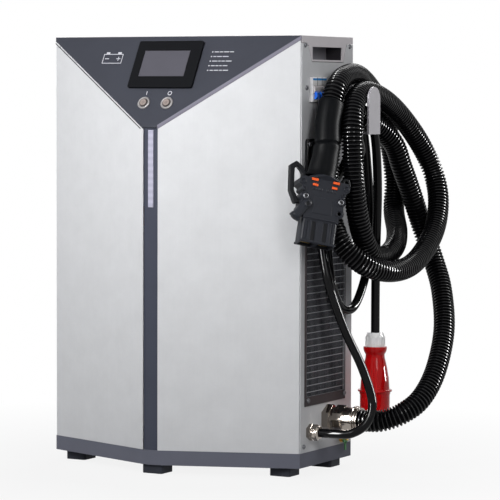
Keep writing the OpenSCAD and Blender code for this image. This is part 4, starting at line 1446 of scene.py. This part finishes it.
    def sleeve(self, full: float) -> Outline:
        """Outline the boot: upper sleeve, notch, shoulder, lower sleeve and foot.

        Args:
            full: Length of the boot.

        Returns:
            Distance along and radius of points, none further apart than a step.
        """
        up, low, notch = self.boot_radius, self.boot_low, full * self.notch
        outline = [(0.0, 0.0), (0.0, up - 0.0025), (0.0012, up - 0.0006), (0.003, up),
                   (notch - 0.004, up), (notch - 0.0022, up - 0.0006), (notch, up - 0.0022),
                   (notch + 0.0014, up - 0.0014), (notch + 0.0035, up + 0.0002),
                   (notch + 0.006, up + 0.0006), (notch + 0.01, up), (notch + 0.018, low)]
        outline += [(notch + 0.018 + (full - notch - 0.024) * i / 6, low) for i in range(1, 6)]
        outline += [(full - 0.006, low), (full - 0.003, low + 0.0012), (full, low + 0.0014), (full, 0.0)]
        dense = [outline[0]]
        for one, two in zip(outline, outline[1:]):
            count = max(1, int((two[0] - one[0]) / self.boot_step))
            dense += [(one[0] + (two[0] - one[0]) * k / count, one[1] + (two[1] - one[1]) * k / count)
                      for k in range(1, count + 1)]
        return dense

    def boot(self, shop: Workshop) -> None:
        """Sweep the stepped sleeve between hose and connector and widen its skirt.

        Args:
            shop: The workshop.
        """
        route = Route(self.points, self.boot_from, len(self.points) - 1)
        mesh = route.swept(self.sleeve(route.length), self.boot_facets)
        seat = self.seat()
        height = route.length * (1.0 - self.notch) * self.flare_high
        for vert in mesh.verts:
            local = seat.inverted() @ vert.co
            share = min(max(1.0 - local.z / height, 0.0), 1.0)
            if local.x < 0.0:
                local.x *= 1.0 + self.flare * share
            vert.co = seat @ local
        self.pieces.append(shop.add("hose_boot_sleeve", mesh, BOOT, "boot_rubber",
                                    replaces=["hose_boot"], crease=40.0))

    def trim(self, mesh: bmesh.types.BMesh) -> None:
        """Add rims, ribs, plate, rails and the locking bar to the housing.

        Args:
            mesh: The housing's mesh.
        """
        seat, bar = self.seat(), self.bar()
        pads = [self.plate]
        for side in (-1, 1):
            for x, z, r in self.rims:
                rim = ((r - 1.7, -1.0), (r - 1.7, 1.1), (r - 1.1, 1.7), (r - 0.5, 1.7), (r, 1.0),
                       (r, -1.0), (r - 1.7, -1.0))
                take_in(mesh, self.ring(rim, seat, (side * x, self.rim_face, z)))
            pads += [self.nib.at(x, side) for x in self.nib_places]
            pads += [self.slim_rail.at(x, side) for x in self.slim_places]
            pads += [pad.at(0.0, side) for pad in (self.seam_rib, self.mouth_rim, self.wide_rail)]
        for pad in pads:
            pad.lay_on(mesh, seat)
        self.bar_grip.lay_on(mesh, bar)
        self.bar_foot.lay_on(mesh, bar)
        x, z = self.eye_place
        take_in(mesh, self.ring(self.eye_rim, bar, (x, self.eye_face, z)))

    def slot_shades(self, shop: Workshop) -> bpy.types.Object:
        """Lay dark blocks in the slots behind the keys and a dark disc in the bar's eye: painted shade in
        these recesses.

        Args:
            shop: The workshop.

        Returns:
            The piece.
        """
        # Dark blocks and a disc in the recesses: painted shade.
        slots = bmesh.new()
        for place in self.slot_places:
            for side in (-1, 1):
                self.slot_shade.at(place, side).lay_on(slots, self.seat())
        x, z = self.eye_place
        take_in(slots, self.ring(self.eye_painted_shade, self.bar(), (x, self.eye_sunk, z)))
        return shop.add("connector_slot_shades", slots, HOLSTER, "black_plastic")

    def connector(self, shop: Workshop) -> None:
        """Dress the connector's housing, loop, keys, screws and contacts.

        Args:
            shop: The workshop.
        """
        shop.paint("connector_contacts", BRASS)
        self.pieces += [
            shop.refine("dc_connector_housing", CONNECTOR, "connector_grey", Edge.MOULDED,
                        more=self.trim),
            shop.refine("connector_handles", HANDLE, "connector_grey", Edge.SOFT, segments=3),
            shop.refine("connector_keys", ORANGE, "key_orange", Edge.SHEET),
            # The faces in the screws' driver sockets are painted black: painted shade in the sockets.
            shop.refine("connector_screws", SCREW, "zinc_steel", Edge.FINE,
                        second=(BLACK, self.in_socket)),
            self.slot_shades(shop),
            shop.frame["nodes"]["connector_contacts"]]

    def build(self, shop: Workshop) -> None:
        """Make the whole lead.

        Args:
            shop: The workshop.
        """
        hose, route = self.hose(shop)
        self.boot(shop)
        self.connector(shop)


@dataclass
class AcLead:
    """The round AC cable with its nut and industrial plug.

    Attributes:
        points: Route points, in millimetres.
        radius: Radius of the cable.
        roundness: Steps of a quarter of the cable's girth.
        finger: A finger rib above the plug's flange, in the plug's frame.
        fingers: How many finger ribs stand round the plug.
    """

    points: Sequence[Point] = (
        (285, -20, 80), (315, -20, 80), (345, -16, 82), (368, 0, 100), (374, 12, 138),
        (356, 6, 200), (330, -12, 268), (307, -28, 345), (290, -26, 415), (275, -8, 475),
        (278, 32, 525), (300, 44, 570), (317, 28, 602), (318, 30, 630), (318, 58, 644),
        (317, 84, 626), (308, 120, 552), (299, 152, 455), (297, 144, 375), (295, 108, 314),
        (292, 74, 297), (288, 40, 315), (283, 20, 365), (276, 25, 430), (279, 56, 505),
        (300, 72, 552), (330, 48, 588), (337, 24, 618), (337, 38, 642), (337, 72, 648),
        (335, 98, 606), (327, 124, 520), (316, 142, 420), (315, 142, 335), (315, 142, 252))
    radius: float = 0.00825
    roundness: int = 6
    finger: Pad = Pad((2.2, 2.4, 12.0), (24.8, 0.0, -88.0), 0.8)
    fingers: int = 18

    def cable(self, shop: Workshop) -> tuple[bpy.types.Object, Route]:
        """Draw the cable as one curve.

        Args:
            shop: The workshop.

        Returns:
            The cable and its line.
        """
        route = Route(self.points)
        data = bpy.data.curves.new("ac_cable_round", "CURVE")
        data.dimensions = "3D"
        data.bevel_depth = self.radius
        data.bevel_resolution = self.roundness
        data.use_fill_caps = True
        spline = data.splines.new("POLY")
        spline.points.add(len(route.line) - 1)
        for knot, spot in zip(spline.points, route.line):
            knot.co = (*spot, 1.0)
        spline.use_smooth = True
        data.materials.append(CABLE.material())
        piece = bpy.data.objects.new("ac_cable_round", data)
        bpy.context.scene.collection.objects.link(piece)
        return shop.seat(piece, "cable_rubber", replaces=["ac_cable"]), route

    def grip(self, mesh: bmesh.types.BMesh) -> None:
        """Add short finger ribs above the plug's flange.

        Args:
            mesh: The plug's mesh.
        """
        seat = Matrix.Translation(Vector(self.points[-1]) * MM)
        for i in range(self.fingers):
            self.finger.lay_on(mesh, seat @ Matrix.Rotation(math.tau * i / self.fingers, 4, "Z"))

    def build(self, shop: Workshop) -> None:
        """Make the lead.

        Args:
            shop: The workshop.
        """
        cable, route = self.cable(shop)
        pieces = [shop.refine("plug_nut", WHITE_NUT, "nut_white", Edge.MOULDED),
                  shop.refine("plug_body", RED, "plug_red", Edge.MOULDED, more=self.grip),
                  shop.refine("plug_pins", STEEL_PIN, "pin_steel", Edge.SHEET)]


@dataclass
class Casing:
    """The folded sheet cabinet with its base, light bar and screws.

    Attributes:
        lip_corner: Upper end of the left lip's lower edge.
        lip_prow: Lower end of that edge, at the prow.
        lip_line: Radius of the lines along the edge.
        lip_facets: Facets round a line.
        highlight_drop: How far the painted highlight line lies under the edge.
        shadow_drop: How far the painted shadow line lies under it.
        front_least: How far a face of the right lip looks to the front.
        right_least: How far it looks to the right.
    """

    lip_corner: Point = (-0.2625, -0.0575, 0.792)
    lip_prow: Point = (-0.022, -0.14495, 0.6347)
    lip_line: float = 0.0009
    lip_facets: int = 10
    highlight_drop: float = 0.0006
    shadow_drop: float = 0.0038
    front_least: float = 0.88
    right_least: float = 0.25

    def on_right_lip(self, face: bmesh.types.BMFace) -> bool:
        """Whether a face lies on the fold over the right front panel."""
        return -face.normal.y > self.front_least and face.normal.x > self.right_least

    def lip_edges(self, shop: Workshop) -> None:
        """Draw a painted highlight line and a painted shadow line along the left lip's edge.

        Args:
            shop: The workshop.
        """
        # A bright rod stands for the highlight on the lip's fold and a black rod for the shadow in the
        # gap under it: painted highlight and painted shadow.
        for name, drop, finish, slot in (("lip_edge_painted_highlight", self.highlight_drop, SILVER, "panel_paint"),
                                         ("lip_edge_painted_shadow", self.shadow_drop, BLACK, "black_plastic")):
            line, down = bmesh.new(), Vector((0.0, 0.0, -drop))
            rod(line, Vector(self.lip_corner) + down, Vector(self.lip_prow) + down, self.lip_line,
                self.lip_facets)
            shop.add(name, line, finish, slot)

    def build(self, shop: Workshop) -> None:
        """Round every fold and coat the sheets.

        Args:
            shop: The workshop.
        """
        for node in ("left_front_panel", "right_front_panel", "right_side_panel", "left_side_panel",
                     "rear_panel"):
            shop.refine(node, SILVER, "panel_paint")
        shop.refine("top_lid", LID_SILVER, "panel_paint")
        for node in ("right_handle_pocket", "left_handle_pocket"):
            # The pockets' front and back walls take the darker copy: painted shade.
            shop.refine(node, POCKET, "panel_paint", second=(POCKET_WALL_SHADE, is_flank))
        shop.refine("base_plinth", PLINTH, "slate_paint")
        # The fold over the right front panel takes a lighter copy of the slate: painted light.
        shop.refine("control_panel", SLATE, "slate_paint", second=(LIP_PAINTED_LIGHT, self.on_right_lip))
        self.lip_edges(shop)
        shop.refine("prow_pillar", PILLAR_SLATE, "slate_paint")
        shop.refine("led_light_bar", LENS, "light_lens", Edge.MOULDED)
        shop.refine("rubber_feet", FEET, "foot_rubber", Edge.SOFT)
        shop.refine("panel_screws", SCREW, "zinc_steel", Edge.FINE)
        shop.paint("foot_bolts", ZINC)


@dataclass
class Vents:
    """The side grilles with their wires and filter mats.

    Attributes:
        side_x: Half width of the cabinet.
        proud: How far the upright wires stand off the side.
        low: Lowest corner of the wire field, along Y and Z.
        high: Highest corner of the wire field.
        pitch: Distance of the upright wires.
        wire: Radius of an upright wire.
        facets: Facets round an upright wire.
        reach: How far an upright wire reaches past the field.
        lap: How far the cross wires reach under the frame.
    """

    side_x: float = 0.2625
    proud: float = 0.0002
    low: tuple[float, float] = (-0.037, 0.1454)
    high: tuple[float, float] = (0.114, 0.4324)
    pitch: float = 0.0047
    wire: float = 0.00025
    facets: int = 6
    reach: float = 0.002
    lap: float = 0.004

    def uprights(self, mesh: bmesh.types.BMesh, x: float) -> None:
        """Add thin upright wires behind the cross wires.

        Args:
            mesh: The grille's mesh.
            x: Place of the wires across the cabinet.
        """
        (low_y, low_z), (high_y, high_z) = self.low, self.high
        count = int((high_y - low_y) / self.pitch)
        gap = (high_y - low_y) / (count + 1)
        for i in range(1, count + 1):
            y = low_y + i * gap
            rod(mesh, Vector((x, y, low_z - self.reach)), Vector((x, y, high_z + self.reach)),
                self.wire, self.facets)

    def on_frame(self, face: bmesh.types.BMFace) -> bool:
        """Tell whether a face reaches out to the frame round the wires.

        Args:
            face: The face.

        Returns:
            True on the frame.
        """
        return any(v.co.y < self.low[0] - self.lap or v.co.y > self.high[0] + self.lap
                   or v.co.z < self.low[1] - self.lap or v.co.z > self.high[1] + self.lap
                   for v in face.verts)

    def build(self, shop: Workshop) -> None:
        """Refine the grilles and add the upright wires.

        Args:
            shop: The workshop.
        """
        for side, name in ((1.0, "right"), (-1.0, "left")):
            wires = partial(self.uprights, x=side * (self.side_x + self.proud))
            shop.refine(f"{name}_vent_grille", GRILLE, "grille_steel", Edge.FINE, more=wires,
                        second=(VENT_FRAME, self.on_frame))
            shop.refine(f"{name}_filter_mat", FOAM, "filter_foam", Edge.SHEET)


@dataclass
class Controls:
    """Display, push buttons and prints on the sloping panel.

    Attributes:
        top: Top edge of the slope, along Y and Z.
        slope: Angle of the slope.
        start_u: Place of the start button across the slope.
        stop_u: Place of the stop button.
        button_v: Place of both down the slope.
        cap_colour: Colour code of the caps.
        ink: Thickness of a print.
        sign_v: Place of the on and off signs down the slope.
        on_sign: Width and height of the on sign.
        off_sign: Inner and outer radius of the off sign.
        off_facets: Facets round the off sign.
        battery: Place of the battery sign across and down the slope.
        battery_bars: Width, height and place of its bars about its middle, in millimetres.
        rows: Widths of the bars in each row, in millimetres.
        row_top: Place of the first row down the slope.
        row_gap: Distance of the rows.
        dot_u: Place of the dots before the rows.
        dot: Width of a dot.
        bar_u: Where the rows' bars start.
        bar_tall: Height of a bar.
        bar_gap: Gap between bars, in millimetres.
    """

    top: tuple[float, float] = (-0.0575, 0.800)
    slope: float = math.atan2(162.0, 90.0)
    start_u: float = -0.0263
    stop_u: float = 0.0225
    button_v: float = 0.1405
    cap_colour: str = "#7c716c"
    ink: float = 0.0003
    sign_v: float = 0.1195
    on_sign: tuple[float, float] = (0.0014, 0.0075)
    off_sign: tuple[float, float] = (0.0030, 0.0044)
    off_facets: int = 32
    battery: tuple[float, float] = (-0.122, 0.047)
    battery_bars: Sequence[tuple[float, float, float, float]] = (
        (42.0, 1.3, 0.0, -9.5), (42.0, 1.3, 0.0, 9.5), (1.3, 20.3, -20.4, 0.0), (1.3, 20.3, 20.4, 0.0),
        (7.5, 3.4, -12.5, -12.2), (7.5, 3.4, 12.5, -12.2), (8.5, 1.5, -12.5, 0.0), (8.5, 1.5, 12.5, 0.0),
        (1.5, 8.5, 12.5, 0.0))
    rows: Sequence[Sequence[float]] = (
        (9, 7, 11, 8), (6, 10, 12), (11, 5, 7, 12), (8, 6, 5, 10), (7, 9, 6, 11))
    row_top: float = 0.0335
    row_gap: float = 0.0096
    dot_u: float = 0.0885
    dot: float = 0.0024
    bar_u: float = 0.0925
    bar_tall: float = 0.0017
    bar_gap: float = 1.8

    def spot(self, u: float, v: float, out: float = 0.0) -> Matrix:
        """Frame on the slope.

        Args:
            u: Across, in metres.
            v: Down the slope.
            out: Off the slope.

        Returns:
            A matrix with Z off the slope and Y up it.
        """
        base = Matrix.Translation((0.0, *self.top)) @ Matrix.Rotation(self.slope, 4, "X")
        return base @ Matrix.Translation((u, -v, out))

    def mark(self, mesh: bmesh.types.BMesh, wide: float, tall: float, u: float, v: float) -> None:
        """Add one flat bar of a width and height at a place on the slope."""
        block(mesh, (wide, tall, self.ink), self.spot(u, v, self.ink / 2), INK_EDGE, 1)

    def prints(self, shop: Workshop) -> None:
        """Lay the white marks: on and off signs, a battery sign and plain rows.

        Args:
            shop: The workshop.
        """
        mesh = bmesh.new()
        self.mark(mesh, *self.on_sign, self.start_u, self.sign_v)
        inner, outer = self.off_sign
        ring = ((inner, 0.0), (outer, 0.0), (outer, self.ink), (inner, self.ink), (inner, 0.0))
        take_in(mesh, turned(ring, self.off_facets, self.spot(self.stop_u, self.sign_v)))
        for wide, tall, du, dv in self.battery_bars:
            self.mark(mesh, wide * MM, tall * MM, self.battery[0] + du * MM, self.battery[1] + dv * MM)
        for i, row in enumerate(self.rows):
            u, v = self.bar_u, self.row_top + i * self.row_gap
            self.mark(mesh, self.dot, self.dot, self.dot_u, v)
            for wide in row:
                self.mark(mesh, wide * MM, self.bar_tall, u + wide * MM / 2, v)
                u += (wide + self.bar_gap) * MM
        shop.add("panel_signs", mesh, PRINT, "nut_white")

    def build(self, shop: Workshop) -> None:
        """Dress display and buttons and lay the prints.

        Args:
            shop: The workshop.
        """
        shop.refine("display_bezel", BEZEL, "bezel_black", Edge.MOULDED, segments=3)
        shop.refine("display_screen", SCREEN, "screen_glass", Edge.FINE)
        for name, u, body in (("start", self.start_u, Body.START), ("stop", self.stop_u, Body.STOP)):
            shop.refine(f"{name}_button_bezel", CHROME, "button_chrome", Edge.FINE)
            centre = self.spot(u, self.button_v).translation
            brushed = TurnedFace(f"{name}_cap_turned", self.cap_colour, rough=0.42, metal=0.5,
                                 centre=tuple(centre), turn=self.slope)
            shop.refine(f"{name}_button_cap", brushed, "button_centre", Edge.FINE, body)
        self.prints(shop)


@dataclass
class Breaker:
    """The three-pole breaker in the side panel.

    Attributes:
        pivot: Centre of the lever drum.
        pole: Width of one pole.
        face: How far the nose stands out.
        drum: Radius of the lever drum.
        ink: Thickness of a print.
        stripe_gap: Gap between the stripes of two poles.
        stripe_tall: Height of the stripe.
        stripe_rise: How far the stripe lies over the drum's centre.
        seam: Width and height of the seam between two poles.
    """

    pivot: Point = (0.2625, 0.001, 0.703)
    pole: float = 0.018
    face: float = 0.007
    drum: float = 0.0101
    ink: float = 0.0004
    stripe_gap: float = 0.0016
    stripe_tall: float = 0.0036
    stripe_rise: float = 0.0185
    seam: tuple[float, float] = (0.001, 0.0435)

    def on_drum(self, face: bmesh.types.BMFace) -> bool:
        """Whether a face lies on the drum between the levers."""
        spot = face.calc_center_median() - Vector(self.pivot)
        return math.hypot(spot.x, spot.z) < self.drum

    def mark(self, mesh: bmesh.types.BMesh, wide: float, tall: float, across: float,
             rise: float) -> None:
        """Add one flat mark on the nose.

        Args:
            mesh: The mesh to add to.
            wide: Its width.
            tall: Its height.
            across: Its place from the middle pole.
            rise: Its place over the drum's centre.
        """
        x, y, z = self.pivot
        place = Matrix.Translation((x + self.face, y + across, z + rise))
        block(mesh, (self.ink, wide, tall), place, INK_EDGE, 1)

    def build(self, shop: Workshop) -> None:
        """Dress body and levers, and print the stripe and the seams.

        Args:
            shop: The workshop.
        """
        # The case's front and back faces take a grey copy of its white: painted shade.
        shop.refine("breaker_body", BREAKER, "breaker_plastic", Edge.SHEET,
                    second=(BREAKER_SIDE_SHADE, is_flank))
        shop.refine("breaker_toggle", LEVER_BLUE, "toggle_blue", Edge.FINE, Body.LEVER,
                    second=(DRUM, self.on_drum))
        shop.paint("breaker_rail", ZINC)
        stripe = bmesh.new()
        for i in (-1, 0, 1):
            self.mark(stripe, self.pole - self.stripe_gap, self.stripe_tall, i * self.pole,
                      self.stripe_rise)
        shop.add("breaker_stripe", stripe, PRINT_BLUE, "toggle_blue")
        seams = bmesh.new()
        for i in (-1, 1):
            self.mark(seams, *self.seam, i * self.pole / 2, 0.0)
        shop.add("breaker_seams", seams, BLACK, "black_plastic")


@dataclass
class Hanger:
    """The cable hook and the connector's parking bracket."""

    def build(self, shop: Workshop) -> None:
        """Round the bar and dress the bracket."""
        shop.refine("cable_hook", HOOK_COAT, "hook_paint", Edge.MOULDED)
        shop.refine("connector_holster", HOLSTER, "black_plastic", Edge.MOULDED)


@dataclass
class Glands:
    """The cable glands and the earth stud.

    Attributes:
        dc_end: Centre of the DC gland's outlet.
        collar: Radius and height of the collar's rings, in millimetres.
        collar_facets: Facets round the collar.
        earth: Where the lug sits on the earth stud.
        lug: Radius and height of the lug's ring, in millimetres.
        lug_facets: Facets round the lug.
        tail: The lug's tail.
    """

    dc_end: Point = (0.3205, 0.050, 0.098)
    collar: Outline = (
        (20.3, 0.0), (26.2, 0.0), (26.2, 2.8), (24.8, 3.6), (23.2, 3.8), (23.2, 5.2), (24.4, 5.6),
        (24.9, 6.8), (24.4, 8.0), (22.6, 8.4), (22.6, 9.6), (23.4, 10.0), (23.7, 11.2), (23.2, 12.4),
        (20.3, 12.7), (20.3, 0.0))
    collar_facets: int = 64
    earth: Point = (0.2707, 0.107, 0.055)
    lug: Outline = ((4.1, 0.0), (9.8, 0.0), (9.8, 1.8), (4.1, 1.8), (4.1, 0.0))
    lug_facets: int = 40
    tail: Pad = Pad((1.8, 6.0, 16.0), (0.9, 0.0, -14.0), 0.5)

    def build(self, shop: Workshop) -> None:
        """Plate the glands and the stud, and add the collar and the lug.

        Args:
            shop: The workshop.
        """
        for node in ("dc_gland_body", "dc_gland_nut", "ac_gland_body", "ac_gland_nut"):
            shop.refine(node, NICKEL, "gland_nickel", Edge.SHEET)
        shop.refine("earth_stud", BRASS, "brass", Edge.FINE)
        along = Matrix.Rotation(QUARTER, 4, "Y")
        ring = turned(in_metres(self.collar), self.collar_facets, Matrix.Translation(self.dc_end) @ along)
        shop.add("dc_gland_collar", ring, NICKEL, "gland_nickel", crease=50.0)
        stud = Matrix.Translation(self.earth)
        lug = turned(in_metres(self.lug), self.lug_facets, stud @ along)
        self.tail.lay_on(lug, stud)
        shop.add("earth_lug", lug, GREEN, "board_green")
        shop.paint("gland_locknuts", NICKEL)


@dataclass
class Innards:
    """Power modules, fans and boards behind the casing.

    Attributes:
        finishes: Each inner part with its finish.
    """

    finishes: Sequence[tuple[str, Finish]] = (
        ("module_rack", ZINC), ("power_module_upper", ALLOY), ("power_module_lower", ALLOY),
        ("fan_rotor_upper", BLACK), ("fan_rotor_lower", BLACK), ("control_board", BOARD),
        ("ac_contactor", BLACK), ("dc_output_bus", COPPER))

    def build(self, shop: Workshop) -> None:
        """Give each inner part its finish."""
        for node, finish in self.finishes:
            shop.paint(node, finish)


def main() -> None:
    """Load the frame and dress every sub-assembly."""
    logging.basicConfig(level=logging.INFO, format="%(name)s: %(message)s")
    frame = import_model()
    shop = Workshop(frame)
    studio = Studio()
    studio.camera()
    for part in (DcLead(), AcLead(), Casing(), Vents(), Controls(), Breaker(), Hanger(), Glands(),
                 Innards()):
        part.build(shop)
        LOG.info("%s done", type(part).__name__)
    studio.build()
    LOG.info("%d pieces", len(shop.made))


if __name__ == "__main__":
    main()
